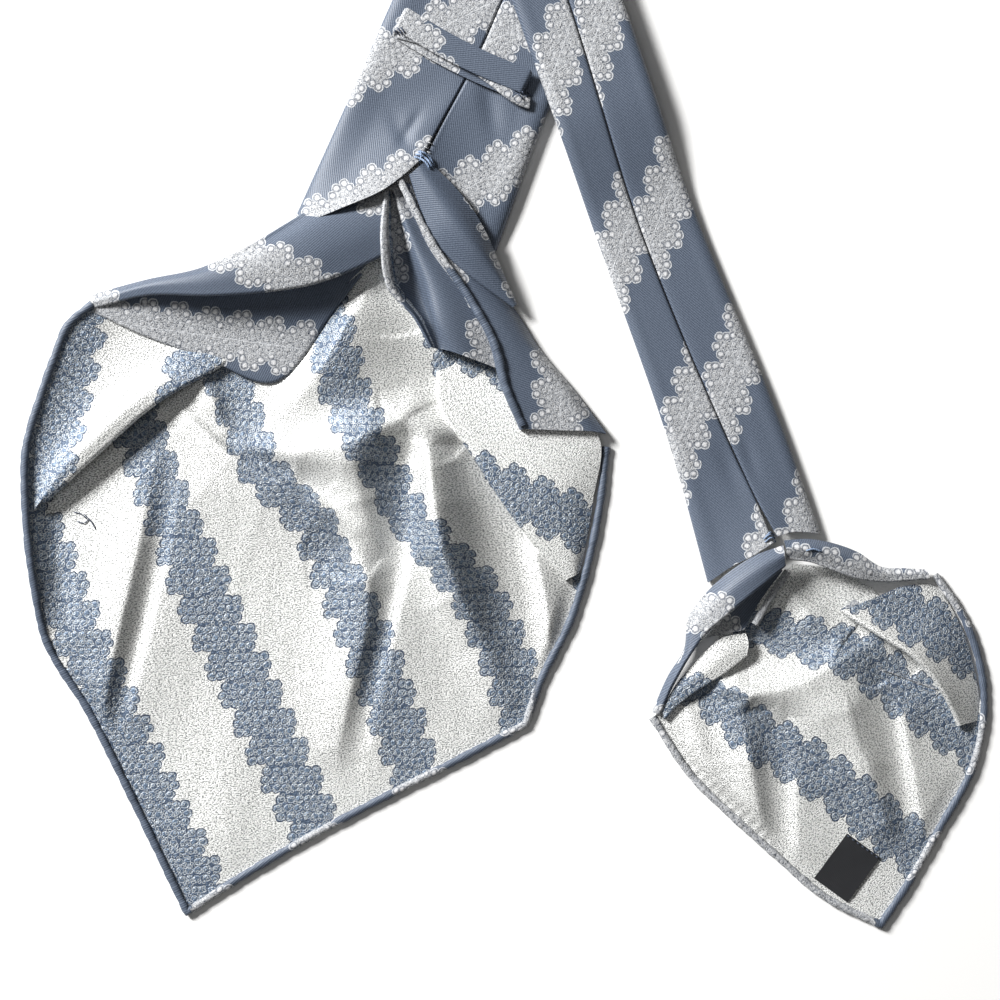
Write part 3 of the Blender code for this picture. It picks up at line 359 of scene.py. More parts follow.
# the silk's face: slate-blue twill with pale woven lace stripes
FACE_RELIEF = 0.00018
silk_face, face_shader, face_start = silk("silk_face", 0.42, 0.03)
face = lace(face_start)
face_rib = twill(face.place, 20.0, 0.78)
face_weft = twill(face.place, -68.0, 0.6)
face_cloud = face.place.node("ShaderNodeTexNoise", {}, {"Vector": face.place, "Scale": 0.9, "Detail": 3.0})
face_grain = face.speck.rises(0.34, 0.66)
face_light = face_rib * 0.35 + face_rib * face_weft * 0.35 + face_grain * 0.35 + face_cloud * 0.15
face_ground = face_light.mixed(linear(44, 54, 70), linear(110, 121, 138))
face_body = inlaid(face.speck.rises(0.40, 0.62).mixed(linear(54, 61, 75), linear(188, 188, 187)), [
    (face.crackle * 0.45, 206, 208, 210), (face.curl_shade * 0.55, 82, 89, 102),
    (face.curl * 0.5, 208, 210, 212), (face.ring * face.border * 0.7, 84, 90, 103),
    (face.eye * (face.border * 0.6 + 0.2), 220, 220, 221), (face.leaf * 0.35, 232, 234, 237),
    (face.outline * 0.85, 208, 211, 215)])
face_colour = face.mask.mixed(face_ground, face_body)
face_height = (face_rib * 0.25 + face_weft * 0.1) * (1 - face.mask) + face.mask * (
    0.45 + face.eye * 0.35 + face.outline * 0.25 + face.crackle * 0.25 - face.ring * 0.2)
finish_silk(face_shader, face_start, face_colour, face.mask * 0.12 + 0.5, face_height, FACE_RELIEF)


def stripes(x, y, centre, heading, mirrored=False):
    """Distance along and across the lace stripes, from a place on one stripe's middle."""
    angle = math.radians(heading)
    along = (x - centre[0]) * math.cos(angle) + (y - centre[1]) * math.sin(angle)
    across = (y - centre[1]) * math.cos(angle) - (x - centre[0]) * math.sin(angle)
    return along, -across if mirrored else across


def cloth_mesh(name, points, faces, cloth, materials):
    """An object from points in laid millimetres, with its places on the weave as a UV map."""
    mesh = bpy.data.meshes.new(name)
    mesh.from_pydata((points + TO_MODEL) * MM, [], faces)
    layer = mesh.uv_layers.new(name="cloth")
    corners = np.empty(len(mesh.loops), dtype=np.int64)
    mesh.loops.foreach_get("vertex_index", corners)
    places = np.column_stack([np.ravel(part) for part in cloth])
    layer.data.foreach_set("uv", places[corners].astype(np.float32).ravel())
    for material in materials:
        mesh.materials.append(material)
    piece = bpy.data.objects.new(name, mesh)
    bpy.context.scene.collection.objects.link(piece)
    return piece


def picked(piece):
    """Selects a piece alone, for an operator to work on."""
    bpy.ops.object.select_all(action="DESELECT")
    piece.select_set(True)
    bpy.context.view_layer.objects.active = piece


def smooth(piece, angle):
    """Shades the piece smooth but for edges sharper than the angle."""
    picked(piece)
    bpy.ops.object.shade_smooth_by_angle(angle=math.radians(angle))
    piece.select_set(False)


def facing_out(piece):
    """Turns all faces of a closed piece outwards."""
    picked(piece)
    bpy.ops.object.mode_set(mode="EDIT")
    bpy.ops.mesh.select_all(action="SELECT")
    bpy.ops.mesh.normals_make_consistent(inside=False)
    bpy.ops.object.mode_set(mode="OBJECT")


def folded_silk(name, sections, cloth, material):
    """A closed body of many folds, from outlines that have the same number of points."""
    count = len(sections[0])
    last = (len(sections) - 1) * count
    faces = [list(range(count))]
    for start in range(0, last, count):
        for corner in range(count):
            after = (corner + 1) % count
            faces.append([start + corner, start + after, start + count + after, start + count + corner])
    faces.append([last + corner for corner in reversed(range(count))])
    piece = cloth_mesh(name, np.concatenate(sections), faces, cloth, [material])
    facing_out(piece)
    smooth(piece, 50.0)
    return piece


FOLDS = 4               # folds that show at the edge of a folded length, one over the other
FOLD_BEND = 0.42        # half of each edge's bend, in half turns
FOLD_STEP = 0.25        # every other fold's edge lies this much further in


def layered_outline(half, thick, lip):
    """Cut across a stack of folds: each fold's edge is a half round."""
    right = []
    for layer in range(FOLDS):
        for turn in np.linspace(-FOLD_BEND, FOLD_BEND, 5):
            angle = turn * math.pi
            level = layer + 0.5 + 0.5 * math.sin(angle) / math.sin(FOLD_BEND * math.pi)
            place = half - lip * (1 - math.cos(angle)) - FOLD_STEP * (layer % 2)
            right.append((place, thick * level / FOLDS))
    top = [(share * half, thick) for share in (0.6, 0.2, -0.2, -0.6)]
    left = [(-x, z) for x, z in reversed(right)]
    bottom = [(share * half, 0.0) for share in (-0.5, 0.0, 0.5)]
    return np.array(right + top + left + bottom)


HIDDEN_THICK = 2.3
HIDDEN_INSET = 2.6      # how far the hidden folds stay inside the blade's edge
HIDDEN_LIP = 0.5


def hidden_folds(name, shape, share, stripe):
    """The folds between a blade's two edges, down a share of its length."""
    left, right, _, rise, _ = shape
    sections = []
    for a, b, base in list(zip(left, right, rise))[:int(round(share * len(rise)))]:
        width = np.linalg.norm(b - a)
        outline = layered_outline(0.5 * width - HIDDEN_INSET, HIDDEN_THICK, HIDDEN_LIP)
        place = 0.5 * (a + b) + outline[:, :1] * (b - a) / width
        sections.append(np.column_stack([place, outline[:, 1] + base]))
    points = np.concatenate(sections)
    return folded_silk(name, sections, stripes(points[:, 0], points[:, 1], *stripe), silk_face)


def stands_for(piece, node):
    """Puts a piece in the place of a node of the model, whose own part is hidden."""
    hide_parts(node)
    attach(piece, "root")


FRONT_LEFT_EDGE = [(46.5, 370.3), (-40.5, 187.5), (-60, 143.5), (-79, 101)]
FRONT_RIGHT_EDGE = [(95.3, 349.7), (37.5, 190), (18, 146), (-2, 92)]
FRONT_SEAM = [(70.9, 360), (1, 187.5), (-10, 163), (-17.5, 149), (-28.5, 128)]
FRONT_LIFT = [(-400, 0), (500, 0)]
front_fine = blade(FRONT_LEFT_EDGE, FRONT_RIGHT_EDGE, FRONT_SEAM, FRONT_LIFT, 72)
front_folds = hidden_folds("front_hidden_folds", front_fine, 0.86, ((-20.0, 150.0), 27.0))
stands_for(front_folds, "front_core")

# ---- front blade, back folds: the two halves that meet along the centre-back seam --------------
# Each half is the outermost layer of the fold. It turns down round the blade's edge, lies over
# the hidden folds, and turns under again along the seam, where the two are slip-stitched.

# the silk's reverse: silver-white satin with the same stripes in blue
REVERSE_RELIEF = 0.0003
FLOAT_TURN = math.radians(65.0)     # the satin's floats run this way
FLOAT_LENGTH = 1.7                  # and are this many times longer than they are wide
silk_reverse, reverse_shader, reverse_start = silk("silk_reverse", 0.36, 0.0)
reverse_shader.inputs["Metallic"].default_value = 0.3
reverse = lace(reverse_start)
float_along = reverse.along * math.cos(FLOAT_TURN) + reverse.across * math.sin(FLOAT_TURN)
float_across = reverse.across * math.cos(FLOAT_TURN) - reverse.along * math.sin(FLOAT_TURN)
float_place = reverse.place.node("ShaderNodeCombineXYZ", {},
                                 {0: float_along, 1: float_across * FLOAT_LENGTH})
floats = reverse.place.node("ShaderNodeTexNoise", {},
                            {"Vector": float_place, "Scale": 1.5, "Detail": 1.0, "Roughness": 0.6})
reverse_ground = floats.rises(0.48, 0.60).mixed(linear(255, 255, 252), linear(138, 140, 139))
reverse_body = inlaid(reverse.speck.rises(0.38, 0.66).mixed(linear(86, 103, 124), linear(144, 163, 182)), [
    (reverse.crackle * 0.4, 60, 72, 98), (reverse.net * 0.5, 50, 63, 86),
    (reverse.ring * 0.5, 196, 202, 208), (reverse.curl_shade * 0.55, 56, 68, 92),
    (reverse.curl * 0.75, 204, 208, 208), (reverse.outline * 0.85, 46, 58, 80)])
reverse_colour = reverse.mask.mixed(reverse_ground, reverse_body)
reverse_height = (1 - floats.rises(0.4, 0.7)) * 0.35 * (1 - reverse.mask) + reverse.mask * (
    0.1 + reverse.eye * 0.3 + reverse.crackle * 0.3 - reverse.ring * 0.2)
finish_silk(reverse_shader, reverse_start, reverse_colour, reverse.mask * 0.15 + 0.38,
            reverse_height, REVERSE_RELIEF)

CLOTH_THICK = 0.55
BACK_TOP = 4.1
# the rails across a half, from under its edge to under its seam: share of the way, distance past
# it, height, share of the seam's rise, and share of the way along the mouth where the rail ends
BACK_RAILS = [(0.0, 2.2, 0.25, 0.0, 0.0), (0.0, 0.8, 0.3, 0.0, 0.0), (0.0, 0.15, 0.8, 0.0, 0.0),
              (0.0, 0.0, 1.6, 0.0, 0.0), (0.0, 0.1, 2.5, 0.0, 0.01), (0.0, 0.7, 3.5, 0.0, 0.03),
              (0.0, 2.2, BACK_TOP, 0.05, 0.08), (0.35, 0.0, BACK_TOP + 0.15, 0.35, 0.35),
              (0.7, 0.0, BACK_TOP + 0.15, 0.7, 0.7), (1.0, -1.6, BACK_TOP + 0.1, 0.95, 0.93),
              (1.0, -0.5, BACK_TOP - 0.02, 1.0, 0.98), (1.0, 0.05, BACK_TOP - 0.5, 1.0, 1.0),
              (1.0, -0.4, BACK_TOP - 1.0, 1.0, 0.98), (1.0, -3.0, BACK_TOP - 1.1, 1.0, 0.93)]
WIDE_GAPS = range(6, 9)     # the gaps between rails that lie far apart, over the blade's back
WIDE_STEPS, NARROW_STEPS = 14, 3
SEAM_HALF_GAP = 0.3
MOUTH_RISE = (0.06, 0.38)   # how much of the mouth's height the blade takes on just before it
MOUTH_PLACES = 120


def layer_of_silk(name, grid, cloth, up, down, thick=CLOTH_THICK):
    """One layer of silk with its upper side on the grid, and the other side of the cloth below."""
    rows, columns = grid.shape[:2]
    points = grid.reshape(-1, 3)
    index = np.arange(rows * columns).reshape(rows, columns)
    quads = np.stack([index[:-1, :-1], index[:-1, 1:], index[1:, 1:], index[1:, :-1]], axis=-1)
    quads = quads.reshape(-1, 4)
    normals = np.cross(points[quads[:, 2]] - points[quads[:, 0]], points[quads[:, 3]] - points[quads[:, 1]])
    if np.median(normals.reshape(rows - 1, columns - 1, 3)[:, :columns // 2, 2]) < 0:
        quads = quads[:, ::-1]
    piece = cloth_mesh(name, points, quads.tolist(), cloth, [up, down])
    wall = piece.modifiers.new("wall", "SOLIDIFY")
    wall.thickness = thick * MM
    wall.offset = -1.0
    wall.use_quality_normals = True
    wall.material_offset = 1
    wall.material_offset_rim = 0
    bpy.context.view_layer.objects.active = piece
    bpy.ops.object.modifier_apply(modifier=wall.name)
    smooth(piece, 55.0)
    return piece


def dented(grid, dents):
    """Presses soft hollows (x, y, depth, half length, half width, heading) into the cloth."""
    for x, y, depth, long, wide, heading in dents:
        along, across = stripes(grid[:, :, 0], grid[:, :, 1], (x, y), heading)
        grid[:, :, 2] -= depth * np.exp(-(along / long)**2 - (across / wide)**2)
    return grid


def cut_of(grid):
    """Width, length and area of a layer's cloth in metres, measured over its folds."""
    along = np.linalg.norm(np.diff(grid, axis=0), axis=2).sum(axis=0).max()
    across = np.linalg.norm(np.diff(grid, axis=1), axis=2).sum(axis=1).max()
    first = grid[1:, 1:] - grid[:-1, :-1]
    second = grid[1:, :-1] - grid[:-1, 1:]
    area = 0.5 * np.linalg.norm(np.cross(first, second), axis=2).sum()
    return (across * MM, along * MM), min(area * MM * MM, along * across * MM * MM)


def fitted(piece, node, grid):
    """Puts a layer of silk in the place of the node it stands for; its cut is measured and not used."""
    flat, area = cut_of(grid)
    stands_for(piece, node)


def ruled(rows, spread):
    """Points on the smooth curve through the rows, at places counted in rows."""
    left = np.clip(np.floor(spread).astype(int), 0, len(rows) - 2)
    return on_curve(rows, distances(rows), left, spread - left)


def back_half(name, node, shape, side, mouth, fine, dents, stripe):
    """One half of a blade's outermost layer, on side 1, left of the seam, or -1, right of it."""
    left, right, middle, rise, seam_rise = shape
    outer = (left if side > 0 else right)[:-1]
    inner = middle[:-1] + np.array([side * -SEAM_HALF_GAP, 0.0])
    width = np.linalg.norm(inner - outer, axis=1)[:, None]
    across = (inner - outer) / width
    outer_rise = rise[:-1]
    lean = seam_rise[:-1] - outer_rise
    mouth_edge = course(mouth, MOUTH_PLACES)
    lines = []
    for share, further, height, lean_share, mouth_share in BACK_RAILS:
        place = outer + across * (width * share + further)
        rail = np.column_stack([place, height + outer_rise + lean * lean_share])
        end = mouth_edge[int(round(mouth_share * (MOUTH_PLACES - 1)))].copy()
        if share == 0.0:
            end[:2] += across[-1] * 0.5 * further
        end[2] = max(end[2] + min(0.0, height - BACK_TOP), 0.4 + 0.1 * height)
        opening = end[2] - rail[-1, 2]
        rail[-2, 2] += MOUTH_RISE[0] * opening
        rail[-1, 2] += MOUTH_RISE[1] * opening
        lines.append(course(np.vstack([rail, end]), fine))
    lines = np.array(lines)
    last = len(lines) - 1
    steps = [WIDE_STEPS if gap in WIDE_GAPS else NARROW_STEPS for gap in range(last)]
    spread = [np.linspace(gap, gap + 1, count)[:-1] for gap, count in enumerate(steps)]
    spread = np.concatenate(spread + [[last]])
    grid = dented(np.array([ruled(lines[:, row], spread) for row in range(fine)]), dents)
    cloth = stripes(grid[:, :, 0], grid[:, :, 1], *stripe, mirrored=True)
    piece = layer_of_silk(name, grid, cloth, silk_face, silk_reverse)
    fitted(piece, node, grid)
    return piece


# the mouth's edge from the blade's outer edge to its seam, and the soft hollows beside it
FRONT_LEFT_MOUTH = [(-79, 101, 6.2), (-64, 106.5, 10.6), (-50, 112.5, 12.2), (-39, 118, 11.4),
                    (-29.2, 127.4, 8.6)]
FRONT_RIGHT_MOUTH = [(-28.2, 127.6, 7.6), (-20, 118, 5.5), (-12, 107, 4.8), (-2, 92, 3.5)]
FRONT_LEFT_DENTS = [(-37, 137.5, 0.8, 7, 2.2, 120), (-33.5, 139, 0.7, 6.5, 2, 60)]
FRONT_RIGHT_DENTS = [(-3.5, 147, 1, 11, 3.6, 100)]
front = blade(FRONT_LEFT_EDGE, FRONT_RIGHT_EDGE, FRONT_SEAM, FRONT_LIFT, 16)
front_left_half = back_half("front_left_half", "front_back_left", front, 1, FRONT_LEFT_MOUTH, 170,
                            FRONT_LEFT_DENTS, ((-45.0, 165.0), 207.0))
front_right_half = back_half("front_right_half", "front_back_right", front, -1, FRONT_RIGHT_MOUTH[::-1], 170,
                             FRONT_RIGHT_DENTS, ((1.9, 174.4), 207.0))

# ---- front blade, open sheet and rolled hem: the tip unfolded, silver side up ------------------
# The sheet is one layer of silk with a sharp step across it and soft waves down to the point.
# Its edge is rolled over to the blue face and slip-stitched by hand, so the roll is pinched.
FRONT_HEM = [(-152.5, 73.5), (-161.5, 65.5), (-166.8, 53), (-172.2, 37.5), (-177, 20), (-177.2, -3),
             (-174, -33.5), (-171, -50.5), (-154.3, -80), (-138.3, -112), (-117.6, -154.9), (-99.5, -143),
             (-77, -129.6), (-38.5, -109.1), (-16, -97.7), (9.6, -84.2), (15, -68.8), (27, -44),
             (30.6, -33), (34, -20), (37.8, 0), (40, 20)]
FRONT_HEM_START, FRONT_HEM_TIP, FRONT_HEM_CORNER, FRONT_HEM_END = 5, 10, 15, 18
FRONT_THROAT = (-28.0, 114.5)
FRONT_UNDER_RIGHT = [(18.0, -4.0), (3.0, 30.0), (-11.0, 67.5), FRONT_THROAT]
FRONT_UNDER_LEFT = [(-143.0, 25.0), (-107.0, 58.0), (-67.5, 88.0), FRONT_THROAT]
SHEET_HEIGHT = 0.8      # the sheet's upper side where it lies flat
SHEET_INSET = 0.9       # its edge runs into the rolled hem by this much less than half the hem
FADES_OUT = 8.0
CREST_POWER = 1.6       # a low power gives the folds sharp crests
CREST_BLEND = 2.4       # the widths of a fold's two sides meet over this distance
RIPPLE = 0.045
# the folds by name, each a crest line of (x, y, height, width to its left, width to its right)
FRONT_CREASES = {
    "step": [(-114, 28.1, 2.5, 2.4, 16), (-100.5, 15.8, 4.4, 2.2, 20), (-83.2, 6.8, 5.1, 2.2, 20),
             (-67.5, -1.9, 4.4, 2.4, 18), (-55.5, -10.5, 1.8, 4, 14)],
    "left crest": [(-130.5, 11.2, 1.7, 5, 14), (-135, -15, 4.1, 5, 14), (-141, -41.2, 5.1, 4.5, 14),
                   (-147, -67.5, 4.1, 4.5, 12), (-150.8, -88.1, 1.8, 4, 10)],
    "right wall": [(13.5, -21, 2.9, 8, 3.2), (17.2, -37.5, 3.6, 7, 3), (19.1, -52.5, 3.1, 7, 3),
                   (15, -71.2, 1.4, 7, 3.4)],
    "upper fold": [(-110.6, 45, 2.2, 4, 8), (-107.2, 35.6, 3.4, 3.8, 8), (-103.5, 27, 1.8, 4, 8)],
    "far wave": [(-160.5, -22.5, 1, 7, 7), (-156, -48.8, 1.8, 7, 7)],
    "middle crest": [(-54.5, -15, 1.5, 7, 9), (-49.5, -30, 5.6, 6, 13), (-50.2, -46.9, 5, 5, 13),
                     (-56.2, -71.2, 3.6, 4.5, 12), (-60.8, -91.9, 1.6, 4.5, 10)],
    "band crest": [(-95.2, 19.5, 3, 8, 4), (-75, 17.5, 7, 8, 9), (-60, 20, 10, 9, 14),
                   (-48, 25, 11.5, 8, 16), (-36.8, 30, 8, 6, 12), (-25.5, 27, 5, 6, 5),
                   (-15, 24, 2.6, 6, 4)],
    "shaded crest": [(-56, 28, 1.5, 9, 9), (-54.4, 14, 5.5, 10.5, 10), (-51.8, 0, 6.5, 10.5, 10),
                     (-48, -13, 3.5, 9, 9), (-45, -23, 1, 8, 8)],
    "right crest": [(-27, 20, 6, 9, 6), (-26, 12, 10, 11, 6.5), (-24, -2, 12.5, 12, 7),
                    (-21.5, -18, 13, 12, 7.5), (-15.5, -35, 10.5, 11, 8), (-6.5, -53, 5, 8.5, 8),
                    (0.8, -72, 1.8, 7, 8)],
    "middle wall": [(-25.5, 16.9, 1.6, 10, 4), (-26.2, 0, 2.4, 12, 3.4), (-30.8, -18.8, 2.8, 14, 3.4),
                    (-36.8, -41.2, 2.4, 16, 3.2), (-42.8, -67.5, 1.8, 16, 3.2), (-47.2, -90, 0.8, 12, 3.4)],
    "left wall": [(-120, 0, 1.2, 16, 3.6), (-124.5, -26.2, 2, 18, 3.2), (-131.2, -52.5, 2.2, 18, 3),
                  (-138, -78.8, 1.4, 14, 3.2)],
    "throat fold": [(-47.2, 80.2, 3, 16, 6), (-57, 65.2, 9, 23, 7), (-65.2, 50.2, 9, 23, 7),
                    (-75, 38.2, 4.4, 16, 8)],
    "low wave": [(-99.4, -90, 0.6, 12, 12), (-104.2, -123.8, 0.8, 12, 12)],
}
# the lace stripes' middles as they lie over the folds, from left to right
FRONT_STRIPES = [
    [(-170.6, -22.5), (-157.5, -52.5), (-144.4, -82.5), (-131.3, -112.5), (-114.4, -144.4)],
    [(-137.6, 37.5), (-112.1, -34.1), (-76.9, -106.1), (-69.4, -121.9)],
    [(-105, 50.6), (-96.4, 28.1), (-90, 11.3), (-67.5, -7.5), (-56.3, -34.1), (-31.1, -106.1)],
    [(-64.9, 67.5), (-57.8, 37.5), (-37.5, -5.6), (-9, -34.1), (4.1, -63), (7.5, -75)],
]
FRONT_HEADING = -65.0


def relief(creases, x, y):
    """Height of an open sheet's folds above its resting plane."""
    total = np.zeros(np.shape(x))
    for crest_line in creases.values():
        line = np.array(crest_line, dtype=float)
        best = np.full(np.shape(x), np.inf)
        height = np.zeros(np.shape(x))
        for start, end in zip(line, line[1:]):
            run = end[:2] - start[:2]
            length = np.hypot(*run)
            t = ((x - start[0]) * run[0] + (y - start[1]) * run[1]) / length**2
            held = np.clip(t, 0.0, 1.0)
            side = ((x - start[0]) * run[1] - (y - start[1]) * run[0]) / length
            values = start[2:, None] + (end[2:] - start[2:])[:, None] * held.ravel()
            crest, left, right = values.reshape((3,) + np.shape(x))
            width = right + (left - right) * ease(0.5 - side / CREST_BLEND)
            past = (t - held) * length
            distance = np.sqrt((side / width)**2 + (past / (0.5 * (left + right)))**2)
            nearer = distance < best
            best = np.where(nearer, distance, best)
            height = np.where(nearer, crest, height)
        total = total + height * np.exp(-best**CREST_POWER)
    return total


def with_corners(rows, corners, step):
    """Points a step apart along a curve that is smooth but for its corner rows."""
    parts = []
    for first, last in zip([0] + corners, corners + [len(rows) - 1]):
        part = rows[first:last + 1]
        length = np.linalg.norm(np.diff(np.array(part), axis=0), axis=1).sum()
        parts.append(course(part, int(length / step) + 2)[:-1])
    return np.vstack(parts + [rows[-1:]])


def inset(rows, distance):
    """Points of a hem moved square to it by a distance, towards the sheet on its left."""
    run = unit(np.diff(rows, axis=0))
    before = np.vstack([run[:1], run])
    middle = unit(before + np.vstack([run, run[-1:]]))
    inward = np.column_stack([-middle[:, 1], middle[:, 0]])
    stretch = 1.0 / (middle * before).sum(axis=1)
    return rows + inward * (distance * stretch)[:, None]


def stretch_of(path, inner, first, last):
    """The inner points that lie beside a path from one of its places to another."""
    start, stop = (int(np.linalg.norm(path - place, axis=1).argmin()) for place in (first, last))
    return [tuple(point) for point in inner[start:stop + 1]]


def patch(side_left, side_right, end_low, end_high, along, across):
    """A grid inside four edges that share their corners: low end, sides, high end."""
    low, high = course(end_low, across), course(end_high, across)
    left, right = course(side_left, along), course(side_right, along)
    v = np.linspace(0.0, 1.0, along)[:, None, None]
    u = np.linspace(0.0, 1.0, across)[None, :, None]
    blended = (1 - v) * low[None] + v * high[None] + (1 - u) * left[:, None] + u * right[:, None]
    corners = ((1 - u) * (1 - v) * low[0] + u * (1 - v) * low[-1]
               + (1 - u) * v * high[0] + u * v * high[-1])
    return blended - corners


def sheet_height(creases, hem, x, y):
    """Height of a sheet's upper side: its folds die out towards the hem."""
    flat_x, flat_y = np.ravel(x), np.ravel(y)
    away = np.full(len(flat_x), np.inf)
    for place in hem:
        away = np.minimum(away, np.hypot(flat_x - place[0], flat_y - place[1]))
    pinned = ease(away.reshape(np.shape(x)) / FADES_OUT)
    ripple = (np.sin(0.42 * x + 0.17 * y) * np.sin(0.31 * y - 0.12 * x + 1.3)
              + 0.6 * np.sin(0.83 * x - 0.36 * y + 0.7) * np.sin(0.51 * y + 0.44 * x))
    return SHEET_HEIGHT + (relief(creases, x, y) + RIPPLE * (1.6 + ripple)) * pinned


def traced_stripes(x, y, lines, heading):
    """Distance along and across lace stripes whose middles bend with the cloth."""
    along, across = stripes(x, y, (0.0, 0.0), heading)
    middles = []
    for line in lines:
        places = np.array(line)
        middles.append(np.interp(along, *stripes(places[:, 0], places[:, 1], (0.0, 0.0), heading)))
    woven = across - middles[0]
    for number, (near, next_one) in enumerate(zip(middles, middles[1:])):
        share = (across - near) / (next_one - near)
        inside = (share > 0.0) & ((share <= 1.0) | (number == len(middles) - 2))
        past = STRIPE_APART * np.minimum(share, 1.0) + np.maximum(across - next_one, 0.0)
        woven = np.where(inside, number * STRIPE_APART + past, woven)
    return along, woven


HEM_WIDTH = 3.0
HEM_HEIGHT = 2.3
HEM_SIDES = 12
HEM_STEP = 1.2
HEM_SWELL = 0.05        # how unevenly the hem is rolled
STITCH_APART = 6.5
STITCH_SPREAD = (0.7, 1.3)
PINCH = 0.16
PINCH_LENGTH = 0.9


def rolled_hem(name, path, cloth_at, seed):
    """A flattened tube along the edge, pinched at each hidden stitch."""
    rng = np.random.default_rng(seed)
    along = unit(np.gradient(path, axis=0))
    sideways = unit(np.column_stack([-along[:, 1], along[:, 0], np.zeros(len(path))]))
    far = distances(path)
    count = int(far[-1] / STITCH_APART / STITCH_SPREAD[0]) + 2
    stitches = np.cumsum(STITCH_APART * rng.uniform(*STITCH_SPREAD, count))
    nearest = np.abs(far[:, None] - stitches[None]).min(axis=1)
    swell = 1.0 + HEM_SWELL * np.sin(far * 0.37 + seed) - PINCH * np.exp(-(nearest / PINCH_LENGTH)**2)
    sections, rolled = [], []
    for centre, side, scale in zip(path, sideways, swell):
        ring = []
        for corner in range(HEM_SIDES):
            angle = 2 * math.pi * corner / HEM_SIDES
            out = 0.5 * HEM_WIDTH * scale * math.cos(angle)
            up = 0.5 * HEM_HEIGHT * scale * math.sin(angle)
            ring.append(centre + side * out + np.array([0.0, 0.0, up]))
            turned = angle if angle <= 1.5 * math.pi else angle - 2 * math.pi
            rolled.append(centre + side * (0.5 * HEM_WIDTH * (0.5 * math.pi - turned)))
        sections.append(np.array(ring))
    rolled = np.array(rolled)
    return folded_silk(name, sections, cloth_at(rolled[:, 0], rolled[:, 1]), silk_face)


# the left edge curls up off the table: (y, lift) along it
CURL = [(-78.0, 0.0), (-50.0, 2.0), (-25.0, 6.0), (5.0, 6.4), (40.0, 5.0), (60.0, 4.6), (73.5, 4.0)]
CURL_ROWS = 9           # the hem's first rows run down the curled edge
CURL_WIDTH = 6.0
CURL_END = -110.0


def curled(x, y):
    """How far the cloth is lifted where its left edge curls up."""
    edge_x, edge_y = np.array(FRONT_HEM[:CURL_ROWS][::-1]).T
    edge = np.interp(y, edge_y, edge_x)
    lift = np.interp(y, *np.array(CURL).T)
    return lift * np.exp(-((x - edge) / CURL_WIDTH)**2) * (x < CURL_END)


PLAIN_LEFT, PLAIN_RIGHT = -116.0, 13.0     # the hem is rolled from plain cloth beyond these


def front_weave(x, y):
    """Where the lace stripes lie on the front blade's open sheet."""
    return traced_stripes(x, y, FRONT_STRIPES, FRONT_HEADING)


def front_hem_weave(x, y):
    """The hem's sides are rolled from plain cloth, and its lower edge from striped cloth."""
    along, across = front_weave(x, y)
    return along, np.where((x < PLAIN_LEFT) | (x > PLAIN_RIGHT), 0.5 * STRIPE_APART, across)


def raised(flat, heights):
    """A grid of places with their heights."""
    return np.concatenate([flat, heights[:, :, None]], axis=2)


def open_sheet(name, node, grid, weave):
    """A blade's unfolded tip, silver side up, with its hem along the edge."""
    piece = layer_of_silk(name, grid, weave(grid[:, :, 0], grid[:, :, 1]), silk_reverse, silk_face)
    fitted(piece, node, grid)
    return piece


front_corners = [FRONT_HEM_TIP, FRONT_HEM_CORNER]
front_hem_xy = with_corners(FRONT_HEM, front_corners, HEM_STEP)
front_hem_z = 0.5 * HEM_HEIGHT + curled(front_hem_xy[:, 0], front_hem_xy[:, 1])
front_hem = rolled_hem("front_rolled_hem", np.column_stack([front_hem_xy, front_hem_z]), front_hem_weave, 3)
stands_for(front_hem, "front_hem")
SHEET_STEP = 2.0
front_path = with_corners(FRONT_HEM, front_corners, SHEET_STEP)
front_inner = inset(front_path, SHEET_INSET)
front_start, front_tip, front_corner, front_end = (
    FRONT_HEM[row] for row in (FRONT_HEM_START, FRONT_HEM_TIP, FRONT_HEM_CORNER, FRONT_HEM_END))
front_left_side = stretch_of(front_path, front_inner, front_start, front_tip)[::-1]
front_bottom = stretch_of(front_path, front_inner, front_tip, front_corner)
front_right_side = stretch_of(front_path, front_inner, front_corner, front_end) + FRONT_UNDER_RIGHT
front_top = front_left_side[-1:] + FRONT_UNDER_LEFT
front_flat = patch(front_left_side, front_right_side, front_bottom, front_top, 220, 190)
front_x, front_y = front_flat[:, :, 0], front_flat[:, :, 1]
front_z = sheet_height(FRONT_CREASES, front_path[::2], front_x, front_y) + curled(front_x, front_y)
front_sheet = open_sheet("front_open_sheet", "front_sheet", raised(front_flat, front_z), front_weave)

# ---- front blade, left folds: a broad turned pleat, a shaded fold and a raised roll ------------
# They fall open from the mouth of the blade. The pleat shows the silver reverse and turns under
# along its lower ridge. The two folds above it show the blue face.
BEND_STEPS = 9
UNDER_SHARES = (0.2, 0.4, 0.6, 0.8, 1.0)
LEAST_BEND = 0.45       # the smallest radius of a turned edge
LOWEST_UNDER = 0.5      # the part turned under stays this far above the table
UNDER_LIMIT = 0.45      # and reaches at most this share of the fold's width back


def loft(rails, along, across):
    """A grid of points: smooth along the rails and smooth from rail to rail."""
    lines = np.array([course(rail, along) for rail in rails])
    return np.array([course(lines[:, row], across) for row in range(along)])


